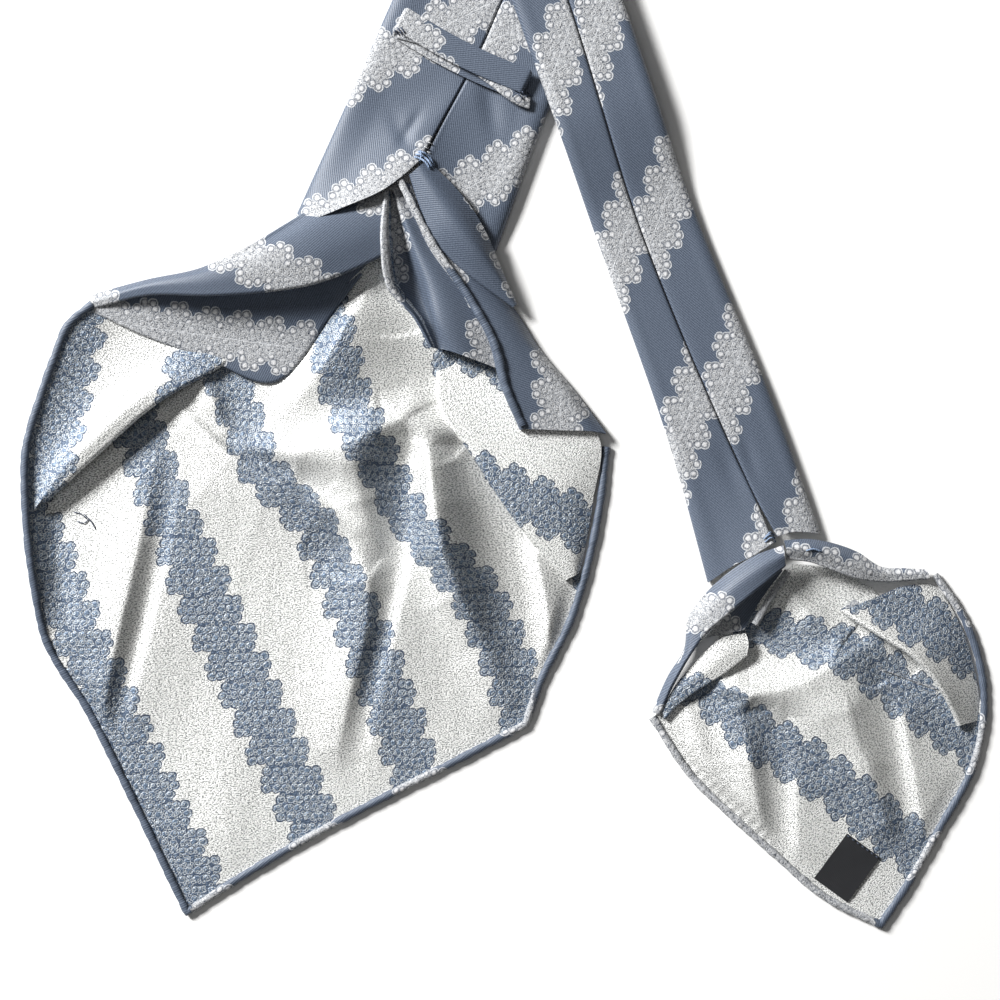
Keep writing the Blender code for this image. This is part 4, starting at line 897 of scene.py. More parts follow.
def turned_under(grid, radius, back):
    """Adds a fold to the grid's last edge: half a turn down, then back below the cloth."""
    edge = grid[:, -1]
    level = np.array([1.0, 1.0, 0.0])
    inward = unit((grid[:, -3] - edge) * level)
    run = unit(np.gradient(edge, axis=0) * level)
    square = unit(inward - (inward * run).sum(axis=1)[:, None] * run)
    inward = unit(inward + square)
    turn = np.clip(0.5 * (edge[:, 2] - 1.0), LEAST_BEND, radius)
    away = np.linalg.norm((grid - edge[:, None])[:, :, :2], axis=2)
    reach = np.minimum(back, UNDER_LIMIT * away[:, 0])
    columns = [grid]
    for angle in np.linspace(0.0, math.pi, BEND_STEPS)[1:]:
        point = edge - inward * (turn * math.sin(angle))[:, None]
        point[:, 2] = edge[:, 2] - turn * (1 - math.cos(angle))
        columns.append(point[:, None])
    for share in UNDER_SHARES:
        under = edge + inward * (reach * share)[:, None]
        above = [np.interp(share * far, row[::-1], heights[::-1])
                 for far, row, heights in zip(reach, away, grid[:, :, 2])]
        under[:, 2] = np.maximum(np.array(above) - 2 * turn, LOWEST_UNDER)
        columns.append(under[:, None])
    return np.concatenate(columns, axis=1)


def fold_of_silk(name, node, rails, fine, stripe, face_up, turn=None, first_turn=None):
    """A fold lofted through its rails, turned under at its last edge or its first if asked."""
    grid = loft(rails, *fine)
    if turn:
        grid = turned_under(grid, *turn)
    if first_turn:
        grid = turned_under(grid[:, ::-1], *first_turn)[:, ::-1]
    cloth = stripes(grid[:, :, 0], grid[:, :, 1], *stripe, mirrored=face_up)
    sides = (silk_face, silk_reverse) if face_up else (silk_reverse, silk_face)
    piece = layer_of_silk(name, grid, cloth, *sides)
    fitted(piece, node, grid)
    return piece


# each fold's rails, lines of (x, y, height) along it, from one of its long edges to the other
LEFT_PLEAT = [
    [(-152.3, 73.2, 4.6), (-161.3, 65.4, 5.4), (-166.6, 53, 5.8), (-172, 37.4, 6.1), (-176.8, 20, 6.4),
     (-177, -4.5, 6.6)],
    [(-138, 69.5, 2.6), (-148, 60, 2.6), (-156.5, 47, 3.2), (-165, 32, 4.2), (-172, 15, 5), (-175, -4, 6)],
    [(-120, 65, 2.6), (-131, 53.5, 3.2), (-144, 40, 4.6), (-157, 25.5, 5.6), (-168, 11, 6),
     (-173.6, -3, 6.2)],
    [(-105, 60.5, 3.2), (-114, 52, 4.8), (-135.5, 37.5, 9.4), (-152.5, 21.5, 9.6), (-165.2, 8.5, 8),
     (-172.4, -1.6, 7)],
    [(-94, 58, 3), (-104.5, 51.5, 4.4), (-130, 36, 9.2), (-149, 19.5, 9.2), (-163.5, 6.5, 7.8),
     (-171.6, -1, 6.8)],
]
LEFT_UNDER_FOLD = [
    [(-153, 73.8, 5), (-124, 77, 9.2), (-95, 77, 11), (-70, 80.5, 9.8), (-50, 87.5, 7.8)],
    [(-152.8, 72.6, 4.9), (-129, 71, 6.8), (-103, 68, 6.6), (-78, 66, 6), (-58, 80, 6.6)],
    [(-152, 71.2, 4.6), (-133, 62.5, 4.4), (-109, 53.5, 4), (-86, 45, 3.4), (-64, 70, 5.2),
     (-52.5, 84.5, 6.4)],
]
LEFT_ROLL = [
    [(-152.2, 75.8, 5), (-131, 81, 11.4), (-110.5, 85, 15), (-94, 92.5, 14.2), (-77, 103.5, 8),
     (-61, 113.5, 5.6), (-43.8, 121, 4.8)],
    [(-152.2, 74.8, 5.8), (-131, 80.5, 12.6), (-109, 84, 16.4), (-91, 90.5, 16.2), (-75, 98.5, 13.2),
     (-59, 105.5, 10.2), (-43.9, 112, 8)],
    [(-152.2, 73.8, 6), (-131, 79.4, 13.2), (-108, 81.5, 17), (-88, 86, 17.2), (-72, 91.5, 15.2),
     (-58, 96.5, 12.4), (-44, 102.5, 9.6)],
    [(-152, 72.8, 5.6), (-131, 77, 12.8), (-107.5, 76.6, 16.4), (-86, 78, 16.6), (-69, 81, 15),
     (-57, 85.5, 12.4), (-43.9, 92, 9.4)],
]
left_pleat = fold_of_silk("front_left_pleat_silk", "front_left_pleat", LEFT_PLEAT, (90, 40),
                          ((-164.0, 35.0), -101.3), False, turn=(1.6, 11.0))
left_under = fold_of_silk("front_left_shaded_fold", "front_left_under_fold", LEFT_UNDER_FOLD, (90, 24),
                          ((-112.5, 61.9), -8.0), True, turn=(1.2, 5.0))
fold_of_silk("front_left_raised_roll", "front_left_roll", LEFT_ROLL, (110, 30),
             ((-87.0, 87.0), -28.0), True, turn=(1.2, 5.0), first_turn=(1.4, 4.0))

# ---- front blade, right folds: a petal, a broad band, a hollow pleat and a turned flap ---------
# They open from the other side of the mouth. The first three show the blue face, and the flap
# below them is turned back to its silver side.
RIGHT_PETAL = [
    [(-27, 126.5, 9.5), (-18, 118, 8.5), (-10.5, 109, 7.5), (-4, 97.5, 6.8), (0, 88, 5.4),
     (6.4, 73.4, 4.4)],
    [(-30, 124, 11.5), (-23, 112.5, 12.5), (-16, 103, 13), (-9, 94, 12), (-2.5, 86, 9.5), (6.1, 73, 5.6)],
    [(-33, 121.5, 10.4), (-28.5, 108, 10.4), (-24, 97, 10.4), (-17, 89.5, 9.9), (-8.5, 82.5, 9.2),
     (5.4, 72.6, 6.4)],
]
RIGHT_BAND = [
    [(-36.8, 119, 8.4), (-30.5, 106, 8.6), (-25.5, 95.5, 9), (-12, 76, 10), (-2.5, 59, 10.5), (1.5, 44, 10),
     (9, 26.5, 8)],
    [(-35.2, 118.5, 8.2), (-27.5, 103, 8.6), (-19.5, 91.5, 8.8), (-5, 75.5, 8.4), (6, 59, 8.6),
     (14.5, 43.5, 8.2), (23, 26, 7)],
    [(-33.6, 118, 7.8), (-24.5, 101.5, 7.8), (-15, 89, 7.2), (3, 71.8, 5.2), (11.5, 58.5, 5.4),
     (24.5, 42.5, 5.6), (35.8, 25.6, 5.6)],
    [(-32.4, 117.2, 6.4), (-22.5, 100.5, 5.4), (-12, 88, 4), (6, 71, 1.4), (14.5, 57.5, 1.3),
     (27.8, 41.5, 1.3), (39.8, 25, 3.6)],
]
RIGHT_HOLLOW_PLEAT = [
    [(-42.6, 115, 9), (-43.6, 96, 12.4), (-41, 79, 12), (-31.4, 68, 10.4), (-25.5, 57, 8.5)],
    [(-41.9, 115.3, 8.6), (-41.8, 95.6, 11.6), (-39, 79, 11), (-30.2, 67.6, 9), (-24.9, 57, 7.6)],
    [(-41.2, 115.5, 4.6), (-40.4, 95.4, 4), (-37.4, 79.6, 3.6), (-29, 67.6, 4.2), (-24.4, 57, 5.6)],
    [(-40.6, 115.7, 4), (-36, 94.6, 2.8), (-31, 79.4, 2.8), (-26.4, 66.8, 3.6), (-22.8, 56.6, 5.2)],
    [(-39.8, 116, 7.4), (-32.2, 94, 9), (-27.2, 79.5, 10.2), (-24.4, 66, 10.4), (-20.6, 56, 9)],
    [(-38.2, 116.5, 6.6), (-25, 95, 6.6), (-9, 76.5, 7.6), (0.5, 60, 8), (3.5, 47.5, 7.6)],
]
RIGHT_TURNED_FLAP = [
    [(-12, 58, 4.2), (4, 46, 4.4), (17, 32, 5.6), (36.4, 24.6, 3.8), (35, 0, 2.2), (30.2, -27, 1.4)],
    [(-18, 50.5, 4.4), (-8, 38, 5), (6, 22, 5.4), (21, 4, 5), (27, -12, 3.8), (28.6, -28, 3.2)],
    [(-22.5, 48.5, 4.8), (-22.5, 38, 5.6), (-9.5, 17.5, 6), (6, -6, 5.6), (18.5, -22, 4.6),
     (25.5, -29.5, 4)],
]
right_flap = fold_of_silk("front_right_flap_silk", "front_right_turned_flap", RIGHT_TURNED_FLAP, (90, 30),
                          ((16.9, -3.0), -23.0), False, turn=(1.4, 7.0))
right_hollow = fold_of_silk("front_right_hollow_silk", "front_right_hollow_pleat", RIGHT_HOLLOW_PLEAT,
                            (80, 44), ((-2.4, 59.0), -95.0), True, turn=(0.8, 3.0),
                            first_turn=(0.9, 3.0))
right_band = fold_of_silk("front_right_band_silk", "front_right_band", RIGHT_BAND, (90, 36),
                          ((22.5, 37.5), -90.0), True, first_turn=(1.7, 4.0))
fold_of_silk("front_right_petal_silk", "front_right_petal", RIGHT_PETAL, (70, 26),
             ((8.4, 89.9), -67.0), True, turn=(1.0, 4.0))

# the thin rolled edge that lies over the band's left side
NARROW_EDGE = [(-37.2, 119, 9.4), (-33, 110.6, 10.2), (-28.7, 102, 10.6), (-24.2, 93.8, 10.8),
               (-18.4, 85.4, 10.8), (-12.6, 77.2, 10.7), (-7.4, 68.4, 10.9), (-2.6, 59.6, 11),
               (0, 51.5, 10.8), (1.7, 44.2, 10.3), (5, 35.2, 9.4), (8.6, 27.8, 8.3)]


def narrow_edge_weave(x, y):
    """Its upper part is rolled from a lace stripe, and the rest from plain cloth."""
    along, across = stripes(x, y, (-23.0, 94.0), -62.0, mirrored=True)
    return along, np.where(y < 86.0, 0.5 * STRIPE_APART, 0.7 * across)


narrow_edge = rolled_hem("front_right_narrow_edge", course(NARROW_EDGE, 90), narrow_edge_weave, 11)
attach(narrow_edge, "root")

# ---- keeper loop: a flat ring of doubled silk that crosses the front blade ---------------------
# The strap lies over the blade and its ends turn under. Its back layer lies a little lower, so
# that its edge shows along the strap's lower side. Both ends are tacked down.
KEEPER_ENDS = [(-37.5, 180.0), (10.5, 155.8)]
KEEPER_WIDTH = 9.5
KEEPER_SHIFT = 2.4      # how much further down the blade the ring's underside lies
KEEPER_HEIGHT = 3.2
KEEPER_SAG = 1.6
KEEPER_BASE = 5.0
KEEPER_HALF_THICK = 0.42
KEEPER_ROUND = 7        # places over each rounded long edge


def keeper():
    """A band swept round the ring's path, with rounded long edges."""
    start, stop = (np.array(place) for place in KEEPER_ENDS)
    length = np.linalg.norm(stop - start)
    run = (stop - start) / length
    down = np.array([run[1], -run[0]])
    radius = 0.5 * KEEPER_HEIGHT
    half_turn = np.linspace(0.0, math.pi, 13)
    left = [(radius - radius * math.sin(a), radius - radius * math.cos(a)) for a in half_turn]
    right = [(length - x, z) for x, z in reversed(left)]
    spans = np.linspace(radius, length - radius, 40)[1:-1]
    ring = left + [(x, KEEPER_HEIGHT) for x in spans] + right + [(x, 0.0) for x in reversed(spans)]
    ring = np.array(ring)
    half = KEEPER_HALF_THICK
    rim = [(half * math.cos(a), half * math.sin(a)) for a in np.linspace(math.pi, 0.0, KEEPER_ROUND)]
    profile = ([(-0.5 * KEEPER_WIDTH + half + x, z) for x, z in rim[:KEEPER_ROUND // 2 + 1]]
               + [(x, half) for x in (-2.5, 0.0, 2.5)]
               + [(0.5 * KEEPER_WIDTH - half + x, z) for x, z in rim[KEEPER_ROUND // 2:]])
    profile += [(x, -half) for x, z in reversed(profile)]
    tangent = unit(np.roll(ring, -1, axis=0) - np.roll(ring, 1, axis=0))
    points = []
    for (x, z), (ahead, up) in zip(ring, tangent):
        sag = KEEPER_SAG * math.sin(math.pi * (x / length))
        shift = KEEPER_SHIFT * (1 - z / KEEPER_HEIGHT)
        for width, lift in profile:
            place = start + run * (x - up * (lift - half)) + down * (width + shift + sag)
            points.append((*place, KEEPER_BASE + (z + ahead * (lift - half))))
    points = np.array(points)
    count, sides = len(ring), len(profile)
    faces = []
    for row in range(count):
        for side in range(sides):
            after_row, after_side = (row + 1) % count, (side + 1) % sides
            faces.append([row * sides + side, row * sides + after_side,
                          after_row * sides + after_side, after_row * sides + side])
    cloth = stripes(points[:, 0], points[:, 1], (-32.5, 172.0), 115.0, mirrored=True)
    return cloth_mesh("keeper_strap", points, faces, cloth, [silk_face])


keeper_loop = keeper()
facing_out(keeper_loop)
smooth(keeper_loop, 60.0)
stands_for(keeper_loop, "keeper_loop")

# the strap's second layer lies a little lower and shows along its lower side
KEEPER_BACK = [
    [(-37.4, 177, 7), (-30.6, 174.4, 7.3), (-19.8, 168.9, 7.5), (-7, 161.8, 7.5), (10, 150.6, 7),
     (11.4, 150.3, 6.6)],
    [(-38.4, 172.9, 6.7), (-31, 170.9, 7), (-21.6, 166.3, 7.2), (-9, 159.2, 7.2), (9.4, 147, 6.6),
     (11, 146.6, 6.2)],
]
keeper_back_grid = turned_under(loft(KEEPER_BACK, 90, 12), 0.5, 1.6)
keeper_back_cloth = stripes(keeper_back_grid[:, :, 0], keeper_back_grid[:, :, 1], (-16.0, 155.4), -31.0,
                            mirrored=True)
keeper_back = layer_of_silk("keeper_second_layer", keeper_back_grid, keeper_back_cloth,
                            silk_face, silk_reverse)
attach(keeper_back, "root")

# ---- neck piece: a straight strip with two mitred folds, beyond the top of the view ------------
# It is sewn to both blades and goes round the collar. Here it is folded over flat twice, like
# the rest of a tie that is laid out to be photographed. Its seam runs up the middle.
NECK_HALF_WIDTH = [(0.0, 26.3), (98.0, 22.0), (279.0, 19.2), (407.0, 18.8)]
NECK_THICK = 4.0
NECK_LIP = 0.55
NECK_GAP = 0.3
NECK_CORNERS = np.array([(70.9, 360.0), (109.0, 450.2), (-71.8, 454.9), (-28.3, 334.6)])
SETTLE_AFTER = 36.0     # past each fold the strip sinks to the table again, from here
SETTLE_LENGTH = 32.0    # over this length
NECK_STEP = 5.0
MITRE_SECTIONS = 15
MITRE_SPARE = 2.0
# the seam's groove across the strip: place, and depth below its top
NECK_SEAM = [(0.9, 0.0), (0.35, 0.35), (0.0, 0.8), (-0.35, 0.35), (-0.9, 0.0)]


def folded_over(points, at, angle, upward):
    """Folds the strip's points past a line through (at, 0) by half a turn about that line."""
    line = np.array([math.cos(angle), math.sin(angle)])
    normal = np.array([line[1], -line[0]])
    if normal[0] < 0:
        normal = -normal
    reach = 0.5 * math.pi * (NECK_THICK + NECK_GAP)
    axis_height = NECK_THICK + 0.5 * NECK_GAP if upward else -0.5 * NECK_GAP
    sign = 1.0 if upward else -1.0
    flat = points[:, :2] - np.array([at, 0.0])
    run = flat @ line
    past = flat @ normal
    turned = past + 0.5 * reach
    arm = np.abs(axis_height - points[:, 2])
    turning = (turned > 0) & (turned < reach)
    over = turned >= reach
    turn = np.where(turning, turned / reach * math.pi, 0.0)
    new_past = np.where(turning, -0.5 * reach + arm * np.sin(turn), np.where(over, -past, past))
    result = points.copy()
    result[:, :2] = np.array([at, 0.0]) + run[:, None] * line + new_past[:, None] * normal
    result[:, 2] = np.where(turning, axis_height - sign * arm * np.cos(turn),
                            np.where(over, 2 * axis_height - points[:, 2], points[:, 2]))
    return result


neck_legs = np.diff(NECK_CORNERS, axis=0)
neck_knots = [float(place) for place in distances(NECK_CORNERS)]
neck_first, neck_second, neck_total = neck_knots[1:]
headings = [math.atan2(leg[1], leg[0]) for leg in neck_legs]
first_line = 0.5 * ((headings[1] - headings[0]) % (2 * math.pi))
second_line = -0.5 * ((headings[2] - headings[1]) % (2 * math.pi))
neck_slants = [0.0, 1 / math.tan(first_line), 1 / math.tan(second_line), 0.0]
neck_places, neck_mitres = [], []
for fold, line in ((neck_first, first_line), (neck_second, second_line)):
    reach = 0.25 * math.pi * (NECK_THICK + NECK_GAP) / abs(math.sin(line))
    neck_mitres.append((fold - reach - MITRE_SPARE, fold + reach + MITRE_SPARE))
    neck_places += [(s, 1 / math.tan(line)) for s in np.linspace(fold - reach, fold + reach, MITRE_SECTIONS)]
for s in np.linspace(NECK_GAP, neck_total - NECK_GAP, int(neck_total / NECK_STEP)):
    if all(not low < s < high for low, high in neck_mitres):
        neck_places.append((s, float(np.interp(s, neck_knots, neck_slants))))
neck_sections, neck_cloth = [], []
neck_turn = np.array([[math.cos(headings[0]), math.sin(headings[0])],
                      [-math.sin(headings[0]), math.cos(headings[0])]])
for s, slant in sorted(neck_places):
    half = float(np.interp(s, *np.array(NECK_HALF_WIDTH).T))
    outline = layered_outline(half, NECK_THICK, NECK_LIP)
    cut = int(np.argmin(np.abs(outline[:, 0] + 0.2 * half) + np.abs(outline[:, 1] - NECK_THICK)))
    seam = [(place, NECK_THICK - depth) for place, depth in NECK_SEAM]
    outline = np.vstack([outline[:cut], seam, outline[cut:]])
    points = np.column_stack([s + slant * outline[:, 0], outline[:, 0], outline[:, 1]])
    neck_cloth.append(points[:, :2].copy())
    settled = (ease((points[:, 0] - neck_first - SETTLE_AFTER) / SETTLE_LENGTH)
               + ease((points[:, 0] - neck_second - SETTLE_AFTER) / SETTLE_LENGTH))
    points = folded_over(points, neck_second, second_line, False)
    points = folded_over(points, neck_first, first_line, True)
    points[:, 2] -= settled * (NECK_THICK + NECK_GAP)
    points[:, :2] = points[:, :2] @ neck_turn + NECK_CORNERS[0]
    neck_sections.append(points)
neck_flat = np.concatenate(neck_cloth)
neck = folded_silk("neck_strip", neck_sections,
                   stripes(neck_flat[:, 0], neck_flat[:, 1], (20.0, 0.0), 48.0), silk_face)
stands_for(neck, "neck_band")

# ---- tail, body: hidden folds between two back halves, as in the front blade -------------------
# The tail is the narrow end. It crosses over the front blade beyond the keeper and comes down
# to the table again, and its seam runs straight down its middle to the mouth.
TAIL_LEFT_EDGE = [(-46, 328.2), (4, 187.5), (35, 101.5), (65.5, 14.5), (78, -31)]
TAIL_RIGHT_EDGE = [(-10.6, 341), (45.5, 187.5), (74, 106), (101.5, 39), (120.5, -12.5)]
TAIL_SEAM = [(-28.3, 334.6), (25, 187.5), (53.5, 99), (83, 28), (102.5, -14)]
TAIL_LIFT = [(333, 0), (322, 0), (294, 5.2), (148, 5.2), (102, 0), (-40, 0)]
TAIL_LEFT_MOUTH = [(78, -31, 4.2), (87, -24.6, 6.2), (95, -20.4, 7.5), (102, -15.8, 7.9)]
TAIL_RIGHT_MOUTH = [(103.5, -13.6, 6.6), (109, -12, 5.5), (115, -12, 4.8), (120.5, -12.5, 3.5)]
TAIL_LEFT_DENTS = [(86, 12, 0.7, 12, 3.5, -68)]
TAIL_RIGHT_DENTS = [(93.5, 16, 0.5, 9, 2.4, -70)]
tail_fine = blade(TAIL_LEFT_EDGE, TAIL_RIGHT_EDGE, TAIL_SEAM, TAIL_LIFT, 96)
tail_folds = hidden_folds("tail_hidden_folds", tail_fine, 0.93, ((40.0, 150.0), -71.0))
stands_for(tail_folds, "tail_core")
tail = blade(TAIL_LEFT_EDGE, TAIL_RIGHT_EDGE, TAIL_SEAM, TAIL_LIFT, 24)
back_half("tail_left_half", "tail_back_left", tail, 1, TAIL_LEFT_MOUTH, 200, TAIL_LEFT_DENTS,
          ((47.6, 102.0), -109.3))
back_half("tail_right_half", "tail_back_right", tail, -1, TAIL_RIGHT_MOUTH[::-1], 200, TAIL_RIGHT_DENTS,
          ((63.0, 115.0), -109.3))

# ---- tail, open sheet and rolled hem: the small tip unfolded, silver side up -------------------
# It is made as the front blade's is. A short crest crosses it under the left folds, and the
# label is sewn near its point.
TAIL_HEM = [(57.3, -81.6), (72, -103.6), (87.4, -118.8), (103.4, -133.2), (122.6, -149.4), (143, -159.6),
            (150.5, -148.6), (165, -123.7), (177.9, -99.6), (182, -75), (174.8, -45.4), (163.5, -28)]
TAIL_HEM_TIP, TAIL_HEM_END = 5, 9
TAIL_RIGHT_CORNER = (140.0, -33.0)
TAIL_THROAT = (110.0, -24.0)
TAIL_UNDER_RIGHT = [(174.5, -74.0), (165.0, -65.0), (153.0, -50.0), TAIL_RIGHT_CORNER]
TAIL_UNDER_TOP = [TAIL_RIGHT_CORNER, (130.0, -28.0), (120.0, -25.0), TAIL_THROAT]
TAIL_UNDER_LEFT = [(74.0, -62.0), (92.0, -40.0), TAIL_THROAT]
TAIL_CREASES = {
    "left crest": [(90, -79.5, 3.1, 7, 12), (93.4, -97.5, 4.7, 6, 12), (96, -112.5, 3.9, 5, 12),
                   (99, -129.4, 1.8, 4.5, 9)],
    "right crest": [(129.8, -79.5, 4.2, 9, 12), (137.2, -99.4, 5.1, 8, 12), (144, -120, 3.2, 6, 10)],
    "far crest": [(70.5, -76.9, 1.2, 5, 5), (75, -91.9, 1.8, 6, 6), (79.5, -106.9, 1.2, 6, 6)],
    "cone": [(108.8, -34.5, 1.6, 6, 6), (117, -45, 2.2, 7, 7), (126, -51, 1.4, 6, 6)],
    "cross crest": [(79.5, -64.5, 2, 6, 4), (85.5, -70.1, 4.4, 7, 4.2), (93.8, -72.8, 6.4, 8, 5),
                    (105, -71.2, 7.4, 8, 12), (114.8, -68.2, 7.2, 8, 24), (125.2, -62.2, 5.6, 7, 26),
                    (138, -55.5, 2.6, 6, 14)],
    "left wall": [(111, -91.9, 0.8, 14, 4), (111.4, -106.9, 1.6, 16, 3.2), (112.5, -129.4, 1.2, 12, 3.4)],
    "right wall": [(151.5, -81, 2, 12, 3.4), (156, -105, 2.4, 12, 3.2), (159.4, -124.5, 1.2, 10, 3.4)],
}
TAIL_STRIPES = [
    [(77.6, -69.4), (97.5, -88.1), (123.8, -105), (156.4, -132)],
    [(92.6, -48.8), (112.5, -52.5), (135, -58.1), (150, -71.3), (177, -90)],
]
TAIL_HEADING = -33.0
TAIL_SIDE_END = 141.0   # the hem's left side ends here, at the point
TAIL_SIDE_TIGHT = 0.6   # the stripe shows wider along it, because its cloth is rolled at a slant


def tail_weave(x, y):
    """Where the lace stripes lie on the tail's open sheet and on its hem."""
    return traced_stripes(x, y, TAIL_STRIPES, TAIL_HEADING)


def tail_hem_weave(x, y):
    """The hem's left side is rolled from one long lace stripe."""
    along, across = tail_weave(x, y)
    side_along, side_across = stripes(x, y, (71.6, -105.0), -37.5)
    left = x < TAIL_SIDE_END
    return np.where(left, side_along, along), np.where(left, TAIL_SIDE_TIGHT * side_across, across)


tail_hem_xy = with_corners(TAIL_HEM, [TAIL_HEM_TIP], HEM_STEP)
tail_hem_z = np.full(len(tail_hem_xy), 0.5 * HEM_HEIGHT)
tail_hem = rolled_hem("tail_rolled_hem", np.column_stack([tail_hem_xy, tail_hem_z]), tail_hem_weave, 8)
stands_for(tail_hem, "tail_hem")
tail_path = with_corners(TAIL_HEM, [TAIL_HEM_TIP], SHEET_STEP)
tail_inner = inset(tail_path, SHEET_INSET)
tail_start, tail_tip, tail_end = TAIL_HEM[0], TAIL_HEM[TAIL_HEM_TIP], TAIL_HEM[TAIL_HEM_END]
tail_left_side = stretch_of(tail_path, tail_inner, tail_start, tail_tip)[::-1]
tail_right_side = stretch_of(tail_path, tail_inner, tail_tip, tail_end) + TAIL_UNDER_RIGHT
tail_under_left = tail_left_side[-1:] + TAIL_UNDER_LEFT
tail_flat = patch(tail_right_side, tail_under_left, tail_left_side, TAIL_UNDER_TOP, 190, 160)
tail_z = sheet_height(TAIL_CREASES, tail_path[::2], tail_flat[:, :, 0], tail_flat[:, :, 1])
tail_sheet = open_sheet("tail_open_sheet", "tail_sheet", raised(tail_flat, tail_z), tail_weave)

# ---- tail, left folds: a roll, a dark inner fold, a turned flap and a narrow rolled edge -------
# They fall open from the left of the tail's mouth. The roll and the inner fold show the blue
# face, and the flap its silver reverse.
TAIL_LEFT_ROLL = [
    [(105.5, -16.8, 9), (95.5, -20.5, 8.2), (86, -26.5, 7.1), (76.5, -35.5, 4.5), (70.5, -44.5, 2.6),
     (69, -56, 2.2), (63, -66, 2.2), (57, -79.6, 2.2)],
    [(105.8, -20, 11.2), (95.5, -26, 11.5), (84.5, -34, 10.5), (75.5, -42.5, 8), (71, -51, 6.5),
     (68, -60, 5.5), (63.5, -68, 4.6), (58.1, -79.9, 3.4)],
    [(106, -23.5, 10.5), (95, -32.5, 11.5), (83.5, -42.5, 10.5), (76, -49.5, 8.5), (71, -56.5, 7.4),
     (67, -63.5, 6.4), (63.2, -70.6, 5.4), (59.2, -80.2, 3.6)],
]
TAIL_LEFT_INNER_FOLD = [
    [(105, -25.6, 7.5), (93.5, -35.5, 7.8), (82.5, -45, 7.2), (76.5, -51.6, 6)],
    [(105.6, -26.5, 6.4), (99.5, -34.5, 5.6), (95, -41.5, 5), (91.5, -48.6, 4.6)],
]
TAIL_LEFT_TURNED_FLAP = [
    [(92, -49.8, 4.3), (82.5, -51.8, 5), (77, -56.5, 4.6), (70.5, -63.5, 4.2), (64.4, -71.3, 4.2),
     (60.6, -79.3, 3)],
    [(93, -53.5, 5.2), (84.5, -58, 6), (77.5, -63, 6), (71, -68.5, 5.2), (65, -75, 4.2), (61.2, -80.4, 3)],
    [(92.5, -57.5, 5.4), (83.5, -64.5, 5.8), (76.5, -69, 5.4), (70.5, -73, 4.8), (65, -77.8, 3.8),
     (61.4, -81.8, 3)],
]
TAIL_NARROW_ROLL = [(107.6, -26.6, 6), (101.2, -36.2, 5.4), (95.4, -46.6, 5)]
tail_left_flap = fold_of_silk("tail_left_flap_silk", "tail_left_turned_flap", TAIL_LEFT_TURNED_FLAP, (60, 24),
                              ((86.0, -31.0), -33.0), False, turn=(0.7, 3.0))
tail_dark_fold = fold_of_silk("tail_left_dark_fold", "tail_left_inner_fold", TAIL_LEFT_INNER_FOLD, (60, 24),
                              ((80.0, -52.0), -20.0), True)
fold_of_silk("tail_left_raised_roll", "tail_left_roll", TAIL_LEFT_ROLL, (90, 30),
             ((76.0, -42.0), -35.0), True, turn=(1.2, 3.0))


def narrow_weave(x, y):
    """The rolled edge lies along one lace stripe."""
    return stripes(x, y, (102.0, -36.0), -121.0, mirrored=True)


narrow_roll = rolled_hem("tail_narrow_edge", course(TAIL_NARROW_ROLL, 26), narrow_weave, 5)
stands_for(narrow_roll, "tail_narrow_roll")

# ---- tail, right folds: a spindle-shaped fold at the top and a broad turned flap ---------------
# The top fold shows the blue face with a lace band below it, and the flap its silver reverse.
# Both are loose at their lower edge and turned under there.
TAIL_TOP_FOLD = [
    [(105.9, -15, 9.2), (114, -14.5, 8), (126, -16.5, 5.5), (134, -19.5, 4.4), (143, -25, 2.6),
     (152, -25.6, 2.4), (160, -26, 2.2)],
    [(106.3, -17.8, 11), (115.5, -18, 11), (126, -21, 9.5), (134.5, -24.5, 8), (144, -27.4, 5.6),
     (153, -27.6, 4.4), (160.5, -27.5, 3.8)],
    [(106.7, -21.5, 9.4), (116, -22.5, 9), (125.5, -26, 8.5), (135, -29, 7.5), (144.5, -30, 5.4),
     (154, -29.4, 4.4), (161, -29, 3.8)],
]
TAIL_RIGHT_TURNED_FLAP = [
    [(150, -32.5, 2.6), (161.2, -31.6, 1.4), (172.7, -46.5, 1.1), (177.6, -61, 1.1), (179.9, -75, 1.1),
     (179.2, -83, 1.1)],
    [(139, -37, 5.2), (149, -44, 5), (162, -54, 6), (169, -66, 5.6), (173.5, -76, 4.2),
     (176.2, -83.6, 2.8)],
    [(128, -41, 6.4), (141.5, -49.5, 9.2), (157, -60, 10.2), (166.4, -72.3, 8.2), (170.2, -79, 6),
     (172.6, -84.4, 4.4)],
]
tail_right_flap = fold_of_silk("tail_right_flap_silk", "tail_right_turned_flap", TAIL_RIGHT_TURNED_FLAP,
                               (90, 30), ((163.5, -48.5), -31.0), False, turn=(1.4, 6.0))
fold_of_silk("tail_top_fold_silk", "tail_top_fold", TAIL_TOP_FOLD, (80, 24),
             ((130.0, -30.0), -10.0), True, turn=(0.8, 2.5))

# ---- label: a small black woven tape with its two ends turned under and sewn to the sheet ------
# It is bare. It follows the sheet's slight waves, and a row of black stitches holds its top.
# Its material is a fine close weave of two sets of threads.
LABEL_CENTRE = (130.4, -138.2)
LABEL_SIZE = (15.5, 21.0)
LABEL_TURN = math.radians(-36.0)
LABEL_THICK = 0.45
LABEL_CLEAR = 0.35      # it bulges this far off the sheet between its sewn ends
LABEL_RELIEF = 0.0001
label_black, label_shader, label_start = silk("label_black", 0.62, 0.25)
label_place = label_start.node("ShaderNodeUVMap", {"uv_map": "cloth"}, {})
label_weave = twill(label_place, 0.0, 0.55) * 0.5 + twill(label_place, 90.0, 0.4) * 0.5
label_tint = label_weave.mixed(linear(17, 18, 21), linear(42, 43, 47))
finish_silk(label_shader, label_start, label_tint, label_weave * 0.1 + 0.55, label_weave, LABEL_RELIEF)
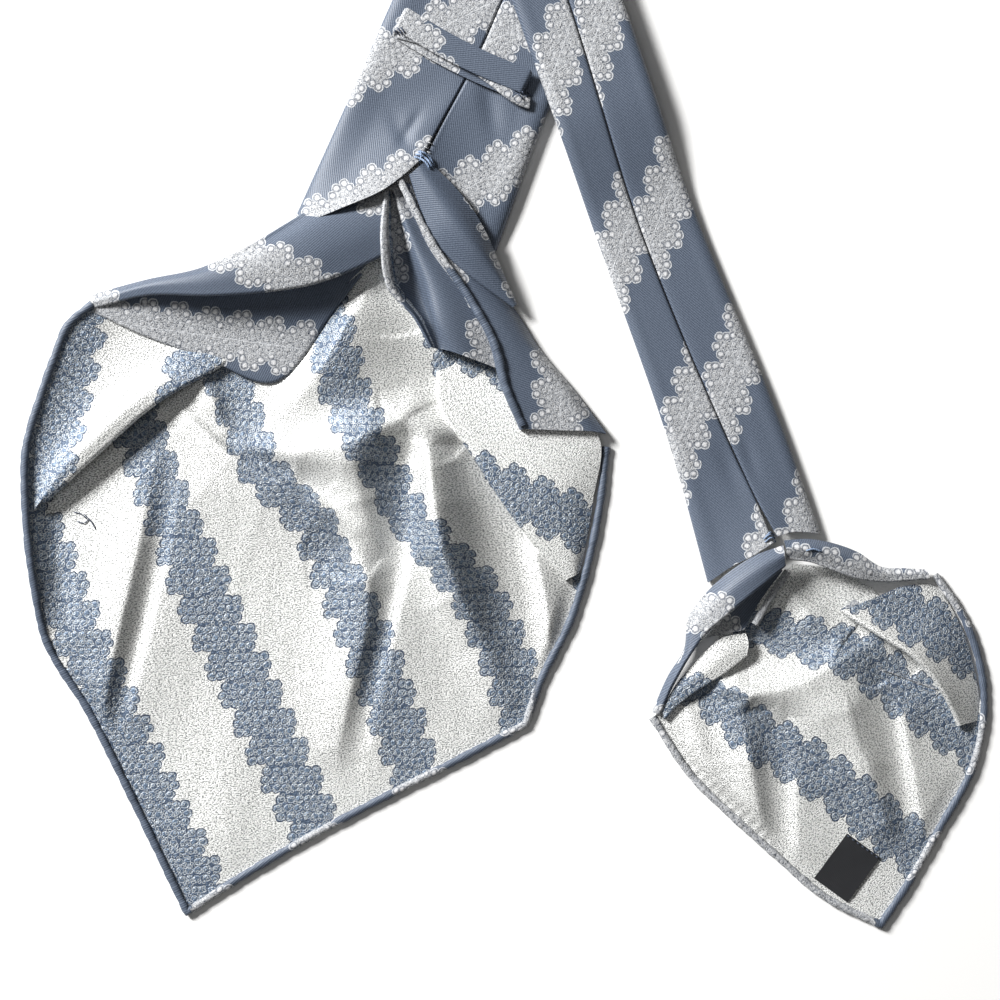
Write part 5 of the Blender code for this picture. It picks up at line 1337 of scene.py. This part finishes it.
label_x_axis = np.array([math.cos(LABEL_TURN), math.sin(LABEL_TURN)])
label_y_axis = np.array([-math.sin(LABEL_TURN), math.cos(LABEL_TURN)])
label_u, label_v = np.meshgrid(np.linspace(-0.5, 0.5, 26), np.linspace(-0.5, 0.5, 34))
label_u, label_v = label_u * LABEL_SIZE[0], label_v * LABEL_SIZE[1]
label_xy = np.array(LABEL_CENTRE) + label_u[:, :, None] * label_x_axis + label_v[:, :, None] * label_y_axis
label_z = sheet_height(TAIL_CREASES, tail_path[::2], label_xy[:, :, 0], label_xy[:, :, 1]) + LABEL_THICK
label_end = 0.5 * LABEL_SIZE[1] - np.abs(label_v)
# its ends lie close to the sheet, and the rows of stitches inside them pull it down
label_z += LABEL_CLEAR - 0.3 * np.exp(-(label_end / 0.7)**2) - 0.25 * np.exp(-((label_end - 1.6) / 0.5)**2)
label = layer_of_silk("woven_label", raised(label_xy, label_z), (label_u, label_v), label_black, label_black,
                      LABEL_THICK)
stands_for(label, "care_label")

# ---- sewing thread: bar tacks at the mouths, stitches at the keeper, loose floats --------------
# It is twisted silk thread, light blue at the bar tacks and darker elsewhere. Each stitch is a
# short cord that dips into the cloth at both ends.
CORD_SIDES = 8
PLIES = 2
THREAD_RELIEF = 0.0001
RAY_START = 0.2         # metres above the table, over the whole tie
above = bpy.context.evaluated_depsgraph_get()


def top_of_cloth(x, y):
    """Height of the uppermost surface at a place on the laid cloth."""
    start = ((x + TO_MODEL[0]) * MM, (y + TO_MODEL[1]) * MM, RAY_START)
    return bpy.context.scene.ray_cast(above, start, (0.0, 0.0, -1.0))[1][2] / MM


def thread_silk(name, dark, light):
    """Twisted thread: its two plies run round it in a fine spiral."""
    material, shader, start = silk(name, 0.5, 0.2)
    place = start.node("ShaderNodeUVMap", {"uv_map": "cloth"}, {})
    spiral = place.part(0) * 7.0 + place.part(1) * (PLIES * 2 * math.pi)
    spiral = spiral.math("SINE") * 0.5 + 0.5
    finish_silk(shader, start, spiral.mixed(linear(*dark), linear(*light)), spiral * 0.1 + 0.45, spiral,
                THREAD_RELIEF)
    return material


def sewn(name, material, radius, arch, lines):
    """Cords over the cloth along lines of places; each one rises by an arch between its ends."""
    points, faces, cloth = [], [], []
    for line in lines:
        flat = course([(x, y, 0.0) for x, y in line], max(12, 5 * len(line)))
        count = len(flat)
        share = np.linspace(0.0, 1.0, count)
        # the cord bridges small gaps in the cloth below it
        rise = np.array([top_of_cloth(x, y) for x, y in flat[:, :2]])
        rise = np.array([rise[max(row - 3, 0):row + 4].max() for row in range(count)])
        rise = np.convolve(np.pad(rise, 2, mode="edge"), np.full(5, 0.2), mode="valid")
        ends = np.minimum(share, 1 - share)
        flat[:, 2] = rise + arch * np.sin(math.pi * share) + radius * (1 - 2.2 * np.exp(-(ends / 0.06)**2))
        flat[:, 2] = np.maximum(flat[:, 2], 1.2 * radius)
        run = unit(np.gradient(flat, axis=0))
        side = unit(np.cross(run, (0.0, 0.0, 1.0)))
        over = np.cross(side, run)
        first = len(points)
        for place, beside, upward, far in zip(flat, side, over, distances(flat)):
            for corner in range(CORD_SIDES):
                angle = 2 * math.pi * corner / CORD_SIDES
                points.append(place + radius * (beside * math.cos(angle) + upward * math.sin(angle)))
                cloth.append((far, corner / CORD_SIDES))
        last = first + (count - 1) * CORD_SIDES
        for here in range(first, last, CORD_SIDES):
            for corner in range(CORD_SIDES):
                after, there = (corner + 1) % CORD_SIDES, here + CORD_SIDES
                faces.append([here + corner, there + corner, there + after, here + after])
        faces.append([first + corner for corner in range(CORD_SIDES)])
        faces.append([last + corner for corner in reversed(range(CORD_SIDES))])
    piece = cloth_mesh(name, np.array(points), faces, np.array(cloth).T, [material])
    smooth(piece, 60.0)
    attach(piece, "root")


thread_light = thread_silk("thread_light_blue", (92, 112, 142), (150, 170, 198))
thread_dark = thread_silk("thread_dark_blue", (36, 44, 62), (78, 90, 112))
thread_pale = thread_silk("thread_pale", (160, 164, 168), (226, 227, 228))
FRONT_TACK = [
    [(-31.4, 128.8), (-29, 128.2), (-26.6, 126.2), (-25.2, 123.6)],
    [(-32, 127.8), (-29.6, 127), (-27.2, 125), (-26, 122.8)],
    [(-30.6, 129.8), (-28, 129.2), (-25.8, 127.2), (-24.6, 124.6)],
    [(-29.6, 130.2), (-29.4, 127.8), (-30.2, 125.8)],
]
SEAM_STITCHES = [
    [(-28.2, 131.8), (-26.8, 131)],
    [(-27.4, 130.2), (-26, 129.4)],
    [(-26.6, 133.4), (-25.2, 132.8)],
]
KEEPER_STITCHES = [
    [(-39.4, 175.2), (-37.6, 173.6)],
    [(-38.2, 176), (-36.4, 173.4)],
    [(-37, 176.2), (-35.4, 174)],
    [(6.6, 151.6), (8.6, 149.6)],
    [(8.2, 152.4), (10.2, 150.4)],
    [(10, 152.8), (12, 151.2)],
]
LOOSE_FLOATS = [
    [(-160.2, -4.6), (-157.4, -5.2), (-155, -7.4)],
    [(-156.2, -5.4), (-153.4, -8.2), (-151.6, -11.4)],
    [(-159, -8), (-156, -8.6), (-154.2, -7)],
]
TAIL_TACK = [
    [(98.4, -14.6), (100.8, -12.8), (103.6, -14.4)],
    [(98.8, -15.8), (101.2, -14), (103.8, -15.8)],
    [(99.2, -13.6), (101, -12), (103.2, -13.2)],
    [(113.8, -18.8), (116.4, -18.2), (119.4, -19.2)],
]
LABEL_STITCHES = [[tuple(np.array(LABEL_CENTRE) + label_x_axis * (u + 0.5 * turn) + label_y_axis * 9.9)
                   for turn in (-1.0, 1.0)] for u in np.linspace(-6.6, 6.6, 7)]
sewn("front_bar_tack", thread_light, 0.4, 0.5, FRONT_TACK)
sewn("seam_slip_stitches", thread_pale, 0.22, 0.15, SEAM_STITCHES)
sewn("keeper_stitches", thread_dark, 0.28, 0.2, KEEPER_STITCHES)
sewn("loose_floats", thread_dark, 0.2, 0.3, LOOSE_FLOATS)
sewn("tail_bar_tack", thread_light, 0.3, 0.3, TAIL_TACK)
sewn("label_stitches", thread_dark, 0.2, 0.12, LABEL_STITCHES)

size = {"cad": [list(corner) for corner in cad_box], "visual": [list(corner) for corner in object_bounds()]}
